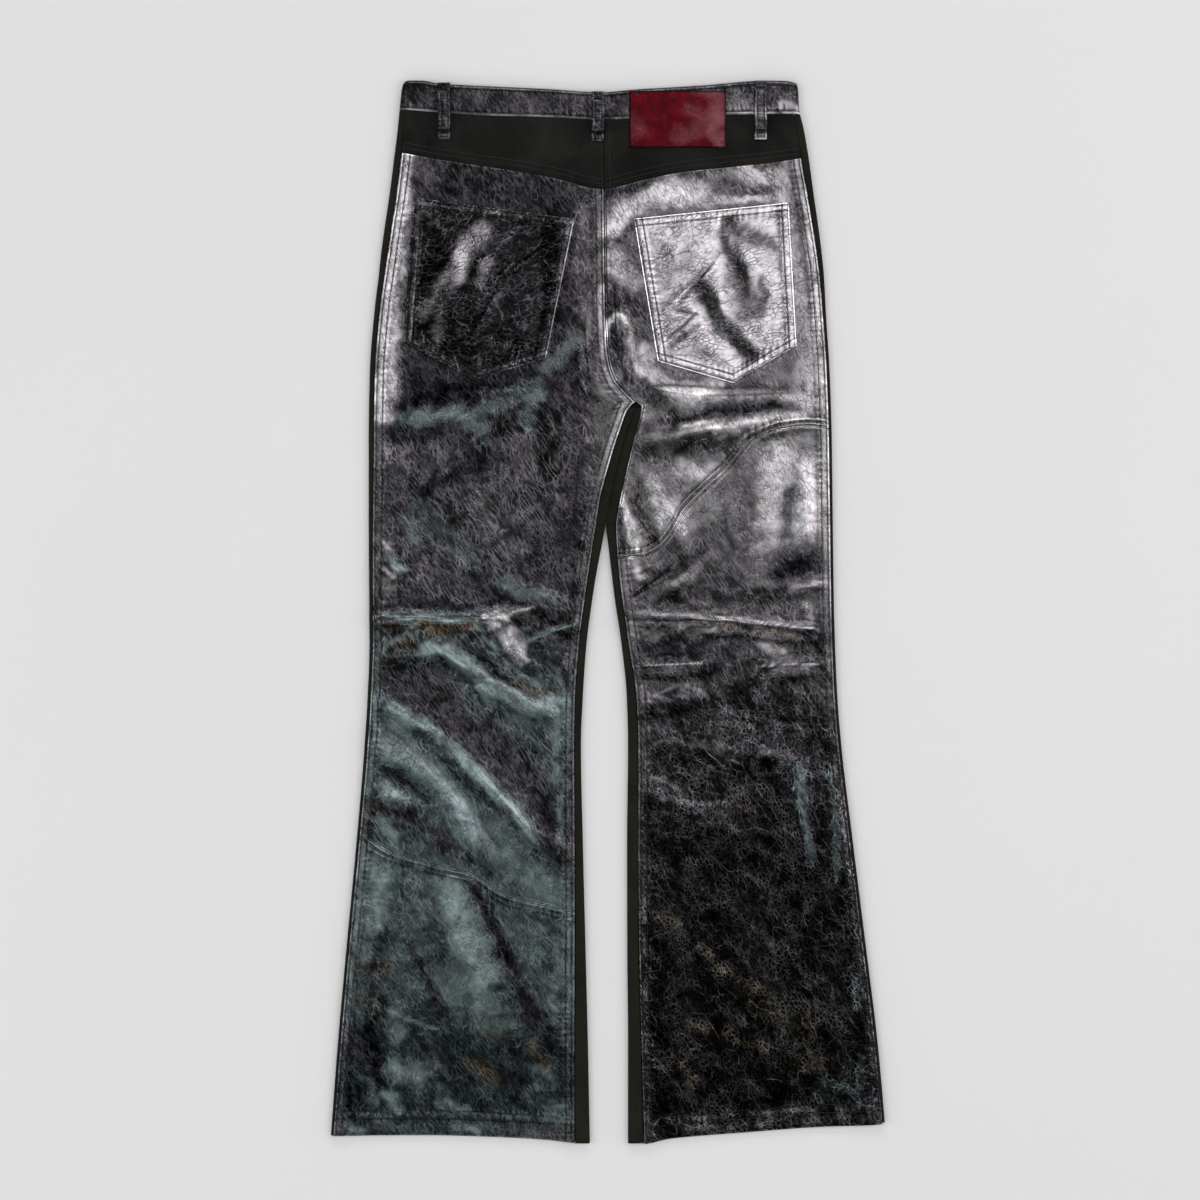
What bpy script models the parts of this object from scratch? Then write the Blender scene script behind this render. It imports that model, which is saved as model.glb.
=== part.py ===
"""Flared leather trousers lying on their front, built from the pieces they are cut and sewn from.

+X runs across the legs, +Y from the hems to the waist, and +Z up from the surface they lie on.
Left and right are the wearer's. All the tables and sizes below are in millimetres. The outline is
drawn about a line between the legs, and the whole garment is then centred on its own box.
"""

import math
from bisect import bisect_right

import bmesh
import bpy
from mathutils import Vector
from mathutils.bvhtree import BVHTree

MM = 0.001

# Driving dimensions
LEATHER = 1.3              # thickness of one layer, suede or leather
SEAM_GAP = 0.36            # clear gap between two pieces that meet at a seam
HALF_GAP = SEAM_GAP / 2
LAY_GAP = 0.45             # clear gap under a piece that lies on another
ROLL = 3.2                 # how far a rolled edge reaches in from the outline
RIM_HEIGHT = 6.2           # top of the rolled edges along the legs
REST_HEIGHT = 3.9          # top of the back where it lies flat on the front
LEAST_HEIGHT = 3.5         # the back never comes lower than this over the floor
RIM_REACH = 26.0           # how far in the roundness of a rolled edge fades
WAIST_HEIGHT = 6.9         # top of the back at the waist, over the lapped ends
WAIST_LIFT = 2.2           # the waist end rides this high on its loops and button
WAIST_LIFT_START = 425.0
WAIST_LIFT_FULL = 474.0
WAIST_RISE_START = 400.0
WAIST_RISE_FULL = 500.0
BAND_CROWN = 0.5           # roundness of the waistband across its width

FLY_WIDTH = 39.0
FLY_END = 322.0
FLY_CURVE = 24.0           # height of the rounded lower corner of the fly flap
FLY_LIFT = 1.65
FLY_RAMP = 28.0            # how far the lift over the fly flap takes to fade across the garment
FLY_RAMP_LOW = 54.0        # the lift starts this far below the flap's lower end
FLY_RAMP_HIGH = 20.0       # and is full this far below it

FRONT_DIP = 17.0           # the front of the waist is cut this much lower at its middle
LAP_LEFT_END = 18.0        # where the outer end of the waistband stops
LAP_RIGHT_END = -17.0      # where the inner end stops, above the outer one
LAP_RAMP = 26.0

LOOP_WIDTH = 12.4
LOOP_THICK = 1.5
LOOP_ARCH = 4.7            # clear height for a belt under a loop
FRONT_LOOP_THICK = 1.85
FRONT_LOOP_LENGTH = 54.0
FRONT_LOOP_PLACES = (-118.0, 104.0)

POCKET_THICK = 1.4
PATCH_THICK = 1.2
BUTTON_RADIUS = 8.5
BUTTON_HEIGHT = 1.85
BUTTON_PLACE = (7.0, 507.0)

GAP_TOP = 88.0             # height at which the legs part
GAP_TOP_RAMP = 14.0        # the flat underside closes to the front seam over this height
CROTCH = 210.0             # height of the crotch point, which is rolled to the back
CROTCH_FADE_START = 195.0  # the roundness of the inner edges fades out above the crotch
CROTCH_FADE_END = 255.0
JOINED_ROUNDNESS = 0.45    # what is left of that roundness where the legs lie together
POCKET_BORDER = 14.0       # folds fade out over this width beside a patch pocket
FOLD_FADE_START = 405.0    # and over these heights below the yoke
FOLD_FADE_END = 432.0

# Outer edge of each leg, and how wide the front shows beside the back
SIDE_COLUMNS = ("height", "left_edge", "left_strip", "right_edge", "right_strip")
SIDE_TABLE = (
    (-543, -283.0, 2.6, 284.0, 2.6),
    (-442, -275.4, 2.6, 275.0, 2.6),
    (-340, -266.2, 2.6, 262.6, 2.6),
    (-238, -256.5, 2.6, 249.9, 2.6),
    (-136, -247.9, 3.0, 237.7, 2.6),
    (-85, -244.8, 3.1, 233.6, 2.6),
    (-34, -243.0, 3.2, 231.3, 2.6),
    (17, -243.3, 3.6, 230.0, 2.6),
    (93, -243.8, 4.1, 229.0, 2.7),
    (175, -243.8, 5.1, 228.0, 2.8),
    (246, -242.6, 5.1, 225.7, 2.8),
    (308, -237.7, 5.2, 221.8, 3.1),
    (338, -234.1, 5.6, 220.3, 4.1),
    (369, -230.6, 6.6, 217.3, 5.1),
    (430, -221.9, 7.0, 208.9, 6.6),
    (460, -218.0, 6.8, 204.7, 7.8),
    (491, -214.2, 6.0, 199.4, 7.4),
    (514, -211.9, 5.0, 194.4, 6.4),
    (530, -210.3, 5.0, 193.8, 6.4),
    (536, -209.0, 5.0, 192.6, 6.4),
    (541, -206.0, 5.0, 189.6, 6.4),
)

# Inner edge of each leg, and where the leather begins beside it
INSIDE_COLUMNS = ("height", "left_edge", "left_leather", "right_edge", "right_leather")
INSIDE_TABLE = (
    (-543, -18.4, -33.8, 20.4, 36.7),
    (-442, -20.4, -33.8, 20.4, 33.7),
    (-340, -22.9, -33.6, 19.6, 31.3),
    (-238, -25.5, -33.7, 19.4, 30.6),
    (-136, -27.5, -34.2, 20.4, 30.6),
    (-85, -25.5, -33.2, 19.0, 28.4),
    (-34, -21.9, -29.2, 13.8, 20.8),
    (17, -15.3, -22.9, 6.3, 13.6),
    (42, -11.2, -19.3, 3.3, 10.6),
    (68, -6.2, -15.3, 0.2, 8.7),
    (88, -2.4, -12.1, -2.0, 8.0),
    (115, 3.2, -7.9, 3.6, 12.2),
    (136, 7.0, -2.6, 7.4, 16.8),
    (166, 14.4, 6.1, 14.8, 23.8),
    (188, 21.0, 13.5, 21.4, 29.4),
    (203, 26.2, 19.0, 26.6, 33.4),
    (210, 28.6, 24.0, 29.0, 34.0),
)

# Seam lines, as points across or along the garment
SEAT_SEAM = ((208, 35.5), (213, 29.2), (219, 22.6), (226, 15.6), (236, 7.6), (251, 2.0),
             (272, -1.2), (318, -2.9), (430, -4.1), (545, -5.1))
SEAM_RIGHT_LEG = ((2, 53), (36, 56), (50, 62), (63, 74), (76, 97), (96, 119), (121, 142),
                  (147, 172), (161, 179.5), (177, 185), (204, 188), (235, 184))
SEAM_LEFT_LEG = ((-262, -209), (-252, -219), (-240, -232), (-218, -245), (-175, -257.6),
                 (-141, -265.3), (-110, -284.6), (-95, -291), (-68, -297), (-28, -306))
YOKE_SEAM = ((-222, 469), (-168, 459.5), (-85, 447), (-44, 438.8), (-22, 432.2), (-4, 430),
             (14, 433.8), (34, 439), (75, 447.3), (159, 456), (212, 463.5))
BAND_SEAM = ((-216, 511), (-175, 508), (-126, 504.7), (-64, 503), (-4, 500.4), (33, 501.8),
             (84, 504), (151, 506), (198, 506))
BAND_TOP = ((-214, 537.5), (-202, 540.6), (-190, 540.5), (-172, 537.5), (-106, 534),
            (-64, 532), (-4, 528.6), (21, 530.9), (96, 535.5), (163, 540.5), (180, 540.2),
            (196, 537))
HEM_LEFT = ((-284, -534), (-185, -533.4), (-119, -535), (-65, -538), (-35, -541), (-14, -542.6))
HEM_RIGHT = ((16, -542.4), (37, -542), (63, -537), (135, -531), (216, -525), (267, -523),
             (286, -520.6))

# Corners of the patch pockets and of the waist patch, in order round each
POCKET_LEFT = dict(top_left=(-198, 422), top_right=(-33.7, 400), right=(-63, 257.8),
                   tip=(-137, 235), left=(-208, 274.3))
POCKET_RIGHT = dict(top_left=(26, 400.4), top_right=(184.3, 416.8), right=(192.4, 270),
                    tip=(127.5, 232.3), left=(50.5, 254.5))
PATCH = dict(left=21.5, right=120.0, bottom=471.8, top=529.6)
LOOPS = dict(loop_back_left=(-166.6, 480.5, 538.0), loop_back_centre=(-10.2, 478.6, 529.0),
             loop_back_right=(155.1, 480.2, 540.0))

# The largest folds of the back: soft ridges, or troughs where the height is below zero
FOLD_COLUMNS = ("x0", "y0", "x1", "y1", "half_width", "height")
FOLDS = (
    # beside the seat seam and round the crotch
    (12, 318, 24, 246, 12, 5.5),
    (-30, 280, -14, 226, 12, 5.0),
    (-14, 206, -33, 80, 13, -2.4),
    (-40, 196, -58, 70, 19, 4.0),
    (30, 244, 88, 219, 15, 5.5),
    (96, 214, 186, 222, 14, 3.4),
    # left thigh
    (-208, 197, -140, 204, 18, 4.6),
    (-140, 204, -72, 218, 20, 4.2),
    (-200, 108, -96, 132, 24, 2.8),
    (-226, 52, -200, 38, 11, 4.6),
    (-230, 28, -150, 14, 14, 3.2),
    (-104, 34, -56, 10, 14, 4.4),
    # left knee
    (-234, -6, -130, -8, 10, 7.0),
    (-130, -8, -78, 0, 11, 5.6),
    (-108, -14, -88, -52, 11, 5.2),
    (-176, -32, -136, -60, 12, 6.0),
    (-136, -60, -68, -100, 13, 6.4),
    (-76, -28, -40, -16, 10, 4.2),
    (-228, -46, -192, -46, 10, 3.6),
    # left shin
    (-226, -92, -176, -122, 13, 5.6),
    (-176, -122, -58, -246, 14, 6.0),
    (-236, -134, -188, -162, 15, 5.0),
    (-188, -162, -138, -238, 18, 5.2),
    (-232, -182, -208, -196, 12, 4.0),
    (-216, -276, -188, -338, 18, 4.2),
    (-150, -300, -104, -420, 20, 4.0),
    (-74, -330, -62, -470, 18, 3.6),
    (-244, -330, -252, -470, 16, 3.2),
    # right thigh
    (40, 178, 94, 185, 13, 4.6),
    (94, 185, 194, 200, 14, 5.4),
    (14, 124, 30, 62, 9, 4.4),
    (50, 124, 67, 80, 12, 4.4),
    (198, 130, 200, 72, 15, 4.0),
    (120, 96, 136, 52, 17, 3.4),
    (60, 22, 98, 52, 12, 4.8),
    # right knee
    (22, -8, 117, -10, 10, 6.4),
    (117, -10, 210, -20, 10, 6.8),
    (134, 24, 206, 30, 13, 4.2),
    (36, -56, 94, -53, 10, 5.2),
    (156, -56, 216, -53, 10, 5.6),
    (34, -96, 88, -86, 11, 3.4),
    # right shin
    (60, -134, 180, -150, 15, 4.2),
    (193, -156, 208, -240, 14, 5.0),
    (228, -200, 236, -290, 11, 4.0),
    (50, -190, 132, -232, 18, 3.8),
    (76, -290, 100, -410, 20, 3.8),
    (160, -300, 196, -430, 20, 3.4),
    (232, -360, 254, -480, 16, 3.4),
)

# Rows of faces: heights at the inseam and the seat seam that the pieces beside them share
LEG_ROWS = 29
CROTCH_ROWS = 6
HEM_LEVEL = -542.0
SEAT_LEVELS = (208, 212.5, 218, 225, 234, 246, 262, 284, 310, 339, 369, 399, 430)
FRONT_TOP_ROWS = 12
YOKE_ROWS = 4
BACK_COLUMNS = 14
ROLL_STEPS = 5
BAND_STEPS = 18
FRONT_FRACTIONS = (0.0, 0.21, 0.43, 0.65, 0.79, 0.86, 1.0)

COLOURS = {
    "gloss_leather": ((0.012, 0.012, 0.014, 1.0), 0.28),
    "band_leather": ((0.014, 0.013, 0.015, 1.0), 0.32),
    "suede": ((0.016, 0.016, 0.013, 1.0), 0.85),
    "yoke_suede": ((0.020, 0.021, 0.018, 1.0), 0.88),
    "red_leather": ((0.19, 0.006, 0.018, 1.0), 0.38),
    "button_metal": ((0.42, 0.40, 0.38, 1.0), 0.35),
}


def clear_scene():
    for thing in list(bpy.data.objects):
        bpy.data.objects.remove(thing, do_unlink=True)


def mix(a, b, amount):
    return a + (b - a) * amount


def blend(value, low, high):
    """A soft step from 0 at low to 1 at high."""
    amount = min(1.0, max(0.0, (value - low) / (high - low)))
    return amount * amount * (3.0 - 2.0 * amount)


def smooth_curve(pairs):
    """A smooth function through the pairs that never swings past them, and straight beyond them."""
    pairs = sorted(pairs)
    places = [pair[0] for pair in pairs]
    values = [pair[1] for pair in pairs]
    last = len(places) - 1
    steps = [places[i + 1] - places[i] for i in range(last)]
    slopes = [(values[i + 1] - values[i]) / steps[i] for i in range(last)]
    tangents = [slopes[0]]
    for i in range(1, last):
        if slopes[i - 1] * slopes[i] <= 0.0:
            tangents.append(0.0)
        else:
            tangents.append(2.0 * slopes[i - 1] * slopes[i] / (slopes[i - 1] + slopes[i]))
    tangents.append(slopes[-1])

    def value_at(place):
        if place <= places[0]:
            return values[0] + tangents[0] * (place - places[0])
        if place >= places[last]:
            return values[last] + tangents[last] * (place - places[last])
        i = bisect_right(places, place) - 1
        t = (place - places[i]) / steps[i]
        start = values[i] * (1 + 2 * t) * (1 - t) ** 2 + tangents[i] * steps[i] * t * (1 - t) ** 2
        end = values[i + 1] * t * t * (3 - 2 * t) + tangents[i + 1] * steps[i] * t * t * (t - 1)
        return start + end

    return value_at


def column_curve(table, columns, name):
    index = columns.index(name)
    return smooth_curve([(row[0], row[index]) for row in table])


def straight_line(start, end):
    """A function of height that gives the place along the line between two points."""
    return lambda height: mix(start[0], end[0], (height - start[1]) / (end[1] - start[1]))


side_edge = {name: column_curve(SIDE_TABLE, SIDE_COLUMNS, name) for name in SIDE_COLUMNS[1:]}
inside_edge = {name: column_curve(INSIDE_TABLE, INSIDE_COLUMNS, name) for name in INSIDE_COLUMNS[1:]}
seat_seam = smooth_curve(SEAT_SEAM)
seam_left_leg = smooth_curve(SEAM_LEFT_LEG)
seam_right_leg = smooth_curve(SEAM_RIGHT_LEG)
yoke_seam = smooth_curve(YOKE_SEAM)
band_seam = smooth_curve(BAND_SEAM)
band_top = smooth_curve(BAND_TOP)
hem_left = smooth_curve(HEM_LEFT)
hem_right = smooth_curve(HEM_RIGHT)

WAIST_LEFT = -211.0
WAIST_RIGHT = 194.0
WAIST_MIDDLE = (WAIST_LEFT + WAIST_RIGHT) / 2
HALF_WAIST = (WAIST_RIGHT - WAIST_LEFT) / 2
FRONT_CENTRE = -4.0


def front_dip(x):
    across = min(1.0, abs(x - WAIST_MIDDLE) / (HALF_WAIST - ROLL))
    return FRONT_DIP * (1.0 - across * across)


def front_band_seam(x):
    across = (x - WAIST_LEFT) / (WAIST_RIGHT - WAIST_LEFT)
    return mix(band_seam(WAIST_LEFT), band_seam(WAIST_RIGHT), across) - front_dip(x)


def front_band_top(x):
    across = (x - WAIST_LEFT) / (WAIST_RIGHT - WAIST_LEFT)
    return mix(band_top(-208.0), band_top(191.0), across) - front_dip(x)


def floor_lift(x, y):
    """How far the underside is held off the surface by the fly flap, the loops and the button."""
    waist = WAIST_LIFT * blend(y, WAIST_LIFT_START, WAIST_LIFT_FULL)
    left = blend(x, FRONT_CENTRE - FLY_WIDTH - FLY_RAMP, FRONT_CENTRE - FLY_WIDTH - 3.0)
    right = 1.0 - blend(x, FRONT_CENTRE + 1.0, FRONT_CENTRE + FLY_RAMP)
    fly = FLY_LIFT * left * right * blend(y, FLY_END - FLY_RAMP_LOW, FLY_END - FLY_RAMP_HIGH)
    return max(waist, fly)


def fold_height(x, y):
    total = 0.0
    for x0, y0, x1, y1, half_width, height in FOLDS:
        along_x, along_y = x1 - x0, y1 - y0
        length = math.hypot(along_x, along_y)
        along = ((x - x0) * along_x + (y - y0) * along_y) / length
        across = ((x - x0) * along_y - (y - y0) * along_x) / length
        past_end = max(0.0, -along, along - length)
        middle = min(1.0, max(0.0, along / length))
        taper = 0.65 + 0.35 * math.sin(math.pi * middle)
        far = (across / half_width) ** 2 + (past_end / (1.3 * half_width)) ** 2
        total += height * taper * math.exp(-far)
    return total


def inside_pocket(x, y):
    """1 under a patch pocket and 0 clear of it, with a soft border."""
    border = POCKET_BORDER
    most = 0.0
    for pocket in (POCKET_LEFT, POCKET_RIGHT):
        across = min(x - pocket["left"][0] + border, pocket["top_right"][0] + border - x)
        if pocket is POCKET_RIGHT:
            across = min(x - pocket["top_left"][0] + border, pocket["right"][0] + border - x)
        along = min(y - pocket["tip"][1] + border, pocket["top_right"][1] + border + 20 - y)
        most = max(most, blend(min(across, along), 0.0, border))
    return most


def rim_distance(x, y):
    """Distance in from the nearest rolled edge, and how strongly that edge is rolled there."""
    outer = min(x - side_edge["left_edge"](y), side_edge["right_edge"](y) - x)
    if y > CROTCH_FADE_END:
        return outer, None
    if x < inside_edge["left_edge"](min(y, CROTCH)):
        inner = inside_edge["left_edge"](min(y, CROTCH)) - x
    else:
        inner = x - inside_edge["right_edge"](min(y, CROTCH))
    return outer, max(0.0, inner)


def cover_height(x, y):
    """Height of the top surface of the back at a place."""
    lift = floor_lift(x, y)
    waist = blend(y, WAIST_RISE_START, WAIST_RISE_FULL)
    rest = mix(REST_HEIGHT + lift, WAIST_HEIGHT, waist)
    rim = mix(RIM_HEIGHT, WAIST_HEIGHT + 0.2, waist)
    outer, inner = rim_distance(x, y)
    roundness = math.exp(-(max(0.0, outer - ROLL) / RIM_REACH) ** 2)
    if inner is not None:
        strength = 1.0 - blend(y, CROTCH_FADE_START, CROTCH_FADE_END)
        joined = (1.0 - JOINED_ROUNDNESS) * blend(y, GAP_TOP - 5.0, GAP_TOP + 30.0)
        near = math.exp(-(max(0.0, inner - ROLL) / RIM_REACH) ** 2) * strength * (1.0 - joined)
        roundness = max(roundness, near)
    folds = fold_height(x, y) * (1.0 - inside_pocket(x, y)) * (1.0 - blend(y, FOLD_FADE_START, FOLD_FADE_END))
    height = mix(rest, rim, roundness) + folds
    least = LEAST_HEIGHT + lift
    if height < least + 1.0:
        height = least + math.exp(height - least - 1.0)
    return height


def cover_point(x, y, thickness):
    """A point on the top surface of the back and the one a wall's thickness under it."""
    step = 0.5
    slope_x = (cover_height(x + step, y) - cover_height(x - step, y)) / (2 * step)
    slope_y = (cover_height(x, y + step) - cover_height(x, y - step)) / (2 * step)
    outside = Vector((x, y, cover_height(x, y)))
    normal = Vector((-slope_x, -slope_y, 1.0)).normalized()
    return outside, outside - normal * thickness


def roll_point(edge, inward, y, low, high, angle, thickness):
    """A point on a rolled edge: angle 0 is under it, 90 degrees at the outline, 180 on top."""
    middle = (low + high) / 2
    centre = edge + inward * ROLL
    points = []
    for inset in (0.0, thickness):
        reach = (ROLL - inset) * math.sin(angle)
        rise = ((high - low) / 2 - inset) * math.cos(angle)
        points.append(Vector((centre - inward * reach, y, middle - rise)))
    return points


def make_material(name):
    colour, roughness = COLOURS[name]
    material = bpy.data.materials.new(name)
    material.use_nodes = True
    shader = material.node_tree.nodes["Principled BSDF"]
    shader.inputs["Base Color"].default_value = colour
    shader.inputs["Roughness"].default_value = roughness
    shader.inputs["Metallic"].default_value = 1.0 if name == "button_metal" else 0.0
    return material


def finish_object(name, mesh_data, material, parent):
    mesh_data.name = name
    thing = bpy.data.objects.new(name, mesh_data)
    thing.parent = parent
    mesh_data.materials.append(material)
    bpy.context.scene.collection.objects.link(thing)
    return thing


def make_wall(name, outside, inside, quads, material, parent):
    """A closed wall from matching outside and inside points, with a rim along its open edges."""
    form = bmesh.new()
    outer = [form.verts.new(point * MM) for point in outside]
    inner = [form.verts.new(point * MM) for point in inside]
    for quad in quads:
        form.faces.new([outer[i] for i in quad])
        form.faces.new([inner[i] for i in reversed(quad)])
    sides = {}
    for quad in quads:
        for i, start in enumerate(quad):
            end = quad[(i + 1) % len(quad)]
            sides[frozenset((start, end))] = None if frozenset((start, end)) in sides else (start, end)
    for edge in sides.values():
        if edge is not None:
            start, end = edge
            form.faces.new([outer[end], outer[start], inner[start], inner[end]])
    bmesh.ops.recalc_face_normals(form, faces=form.faces[:])
    bmesh.ops.triangulate(form, faces=form.faces[:])
    mesh = bpy.data.meshes.new(name)
    form.to_mesh(mesh)
    form.free()
    return finish_object(name, mesh, material, parent)


def grid_quads(rows, columns, offset=0):
    quads = []
    for row in range(rows - 1):
        for column in range(columns - 1):
            corner = offset + row * columns + column
            quads.append((corner, corner + 1, corner + columns + 1, corner + columns))
    return quads


def panel_place(left, right, bottom, top, across, along):
    """The place at these fractions across and along a panel between its four edge curves."""
    y = mix(bottom(left(0.0)), top(right(0.0)), along)
    x = 0.0
    for _ in range(60):
        x = mix(left(y), right(y), across)
        y = mix(y, mix(bottom(x), top(x), along), 0.6)
    return x, y


LEG_LEVELS = [mix(HEM_LEVEL, GAP_TOP, row / LEG_ROWS) for row in range(LEG_ROWS + 1)]
CROTCH_LEVELS = [mix(GAP_TOP, SEAT_LEVELS[0], row / CROTCH_ROWS) for row in range(1, CROTCH_ROWS)]
LEAST_ROW = 7.0            # no row of faces is lower than this


def shares_on(inner, bottom, top):
    """Fractions of a panel's height that put its rows at the shared levels along its inner edge."""
    shares = []
    for level in LEG_LEVELS + CROTCH_LEVELS + list(SEAT_LEVELS):
        x = inner(level)
        low, high = bottom(x), top(x)
        if low + LEAST_ROW < level < high - LEAST_ROW:
            shares.append((level - low) / (high - low))
    return [0.0] + shares + [1.0]


def make_panel(name, left, right, bottom, top, shares, material, parent):
    outside, inside = [], []
    for share in shares:
        for column in range(BACK_COLUMNS):
            x, y = panel_place(left, right, bottom, top, column / (BACK_COLUMNS - 1), share)
            out_point, in_point = cover_point(x, y, LEATHER)
            outside.append(out_point)
            inside.append(in_point)
    return make_wall(name, outside, inside, grid_quads(len(shares), BACK_COLUMNS), material, parent)


def moved(curve, amount):
    return lambda value: curve(value) + amount


def left_outer_leather(y):
    return side_edge["left_edge"](y) + side_edge["left_strip"](y) + HALF_GAP


def right_outer_leather(y):
    return side_edge["right_edge"](y) - side_edge["right_strip"](y) - HALF_GAP


def seat_half_gap(y):
    """Half the gap at the seat seam, measured across the garment where the seam slants."""
    slope = seat_seam(y + 1.0) - seat_seam(y - 1.0)
    return HALF_GAP * math.hypot(1.0, slope / 2.0)


def left_inner_leather(y):
    """Inner edge of the left back: the inseam up to the crotch and the seat seam above it."""
    if y < 212.0:
        return inside_edge["left_leather"](y) - HALF_GAP
    tip = inside_edge["left_leather"](212.0) + (y - 212.0) * 1.5
    return min(seat_seam(y) - seat_half_gap(y), tip)


def right_inner_leather(y):
    if y < 208.0:
        return inside_edge["right_leather"](y) + HALF_GAP
    return seat_seam(y) + seat_half_gap(y)


def make_backs(materials, parent):
    gloss = materials["gloss_leather"]
    yoke_side = moved(yoke_seam, -HALF_GAP)
    upper_left_end, lower_left_end = moved(seam_left_leg, HALF_GAP), moved(seam_left_leg, -HALF_GAP)
    upper_right_end, lower_right_end = moved(seam_right_leg, HALF_GAP), moved(seam_right_leg, -HALF_GAP)
    make_panel("back_left_upper", left_outer_leather, left_inner_leather, upper_left_end, yoke_side,
               shares_on(left_inner_leather, upper_left_end, yoke_side), gloss, parent)
    make_panel("back_left_lower", left_outer_leather, left_inner_leather, hem_left, lower_left_end,
               shares_on(left_inner_leather, hem_left, lower_left_end), gloss, parent)
    make_panel("back_right_upper", right_inner_leather, right_outer_leather, upper_right_end,
               yoke_side, shares_on(right_inner_leather, upper_right_end, yoke_side), gloss, parent)
    make_panel("back_right_lower", right_inner_leather, right_outer_leather, hem_right,
               lower_right_end, shares_on(right_inner_leather, hem_right, lower_right_end),
               gloss, parent)
    yoke_shares = [row / YOKE_ROWS for row in range(YOKE_ROWS + 1)]
    make_panel("yoke_left", left_outer_leather, moved(seat_seam, -HALF_GAP),
               moved(yoke_seam, HALF_GAP), moved(band_seam, -HALF_GAP), yoke_shares,
               materials["yoke_suede"], parent)
    make_panel("yoke_right", moved(seat_seam, HALF_GAP), right_outer_leather,
               moved(yoke_seam, HALF_GAP), moved(band_seam, -HALF_GAP), yoke_shares,
               materials["yoke_suede"], parent)


class FrontSide:
    """The edge curves of one front panel, with inward as +1 on the left leg and -1 on the right."""

    def __init__(self, side):
        self.side = side
        self.inward = 1.0 if side == "left" else -1.0
        self.outer = side_edge[side + "_edge"]
        self.outer_strip = side_edge[side + "_strip"]
        self.inner = inside_edge[side + "_edge"]
        self.leather = inside_edge[side + "_leather"]
        self.hem = hem_left if side == "left" else hem_right

    def bottom_inner(self, y):
        """Inner edge of the flat underside: in from the inseam roll, then the front seam."""
        seam = FRONT_CENTRE - self.inward * HALF_GAP
        if y > GAP_TOP + GAP_TOP_RAMP:
            return seam
        rolled = self.inner(min(y, GAP_TOP)) - self.inward * ROLL
        return mix(rolled, seam, blend(y, GAP_TOP, GAP_TOP + GAP_TOP_RAMP))


def make_front(side_name, material, parent):
    """One suede front: flat underneath, rolled up over both edges to the strips beside the back."""
    front = FrontSide(side_name)
    inward = front.inward
    top_seam = moved(front_band_seam, -HALF_GAP)
    above = [mix(SEAT_LEVELS[0], top_seam(FRONT_CENTRE), row / FRONT_TOP_ROWS)
             for row in range(FRONT_TOP_ROWS)]
    levels = []
    for height in LEG_LEVELS + CROTCH_LEVELS + above:
        x = front.bottom_inner(height)
        levels.append(max(0.0, (height - front.hem(x)) / (top_seam(x) - front.hem(x))))
    levels.append(1.0)
    gap_row = LEG_ROWS
    angles = [step / ROLL_STEPS for step in range(ROLL_STEPS + 1)]
    outside, inside = [], []
    row_starts = []

    def add(pair):
        outside.append(pair[0])
        inside.append(pair[1])
        return len(outside) - 1

    for level in levels:
        row = []
        x_side = front.outer(mix(HEM_LEVEL, WAIST_RISE_FULL, level))
        y = mix(front.hem(x_side), band_seam(x_side) - HALF_GAP, level)
        width = front.outer_strip(y) - HALF_GAP
        edge = front.outer(y)
        low = floor_lift(edge + inward * ROLL, y)
        high = cover_height(edge + inward * ROLL, y)
        stop = math.pi
        if width < ROLL:
            stop = math.pi / 2 + math.acos(1.0 - width / ROLL)
        if width > ROLL:
            row.append(add(cover_point(edge + inward * width, y, LEATHER)))
        else:
            row.append(add(roll_point(edge, inward, y, low, high, stop, LEATHER)))
        for fraction in reversed(angles[:-1]):
            row.append(add(roll_point(edge, inward, y, low, high, stop * fraction, LEATHER)))
        for fraction in FRONT_FRACTIONS[1:]:
            place = 0.0
            height = y
            for _ in range(40):
                place = mix(front.outer(height) + inward * ROLL, front.bottom_inner(height), fraction)
                goal = mix(front.hem(place), top_seam(place), level)
                height = mix(height, goal, 0.6)
            lift = floor_lift(place, height)
            row.append(add((Vector((place, height, lift)), Vector((place, height, lift + LEATHER)))))
        row_starts.append(row)
    quads = []
    for lower, upper in zip(row_starts, row_starts[1:]):
        for i in range(len(lower) - 1):
            quads.append((lower[i], lower[i + 1], upper[i + 1], upper[i]))

    inner_rows = []
    for row_index in range(gap_row + 1):
        shared = row_starts[row_index][-1]
        y = outside[shared].y
        edge = front.inner(y)
        leather = front.leather(y) + inward * HALF_GAP
        width = abs(leather - edge)
        low = 0.0
        high = cover_height(edge - inward * ROLL, y)
        row = [shared]
        for fraction in angles[1:]:
            row.append(add(roll_point(edge, -inward, y, low, high, math.pi * fraction, LEATHER)))
        row.append(add(cover_point(edge - inward * width, y, LEATHER)))
        inner_rows.append(row)
    for y in CROTCH_LEVELS + [SEAT_LEVELS[0] - SEAM_GAP]:
        edge = front.inner(y)
        leather = front.leather(y) + inward * HALF_GAP
        if abs(leather - edge) < 2.0:
            leather = edge - inward * 2.0
        row = [add(cover_point(edge, y, LEATHER)), add(cover_point(leather, y, LEATHER))]
        inner_rows.append(row)
    for lower, upper in zip(inner_rows, inner_rows[1:]):
        if len(lower) == len(upper):
            pairs = range(len(lower) - 1)
            quads += [(lower[i], lower[i + 1], upper[i + 1], upper[i]) for i in pairs]
        else:
            quads.append((lower[-2], lower[-1], upper[-1], upper[-2]))
    return make_wall("front_" + side_name, outside, inside, quads, material, parent)


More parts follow.
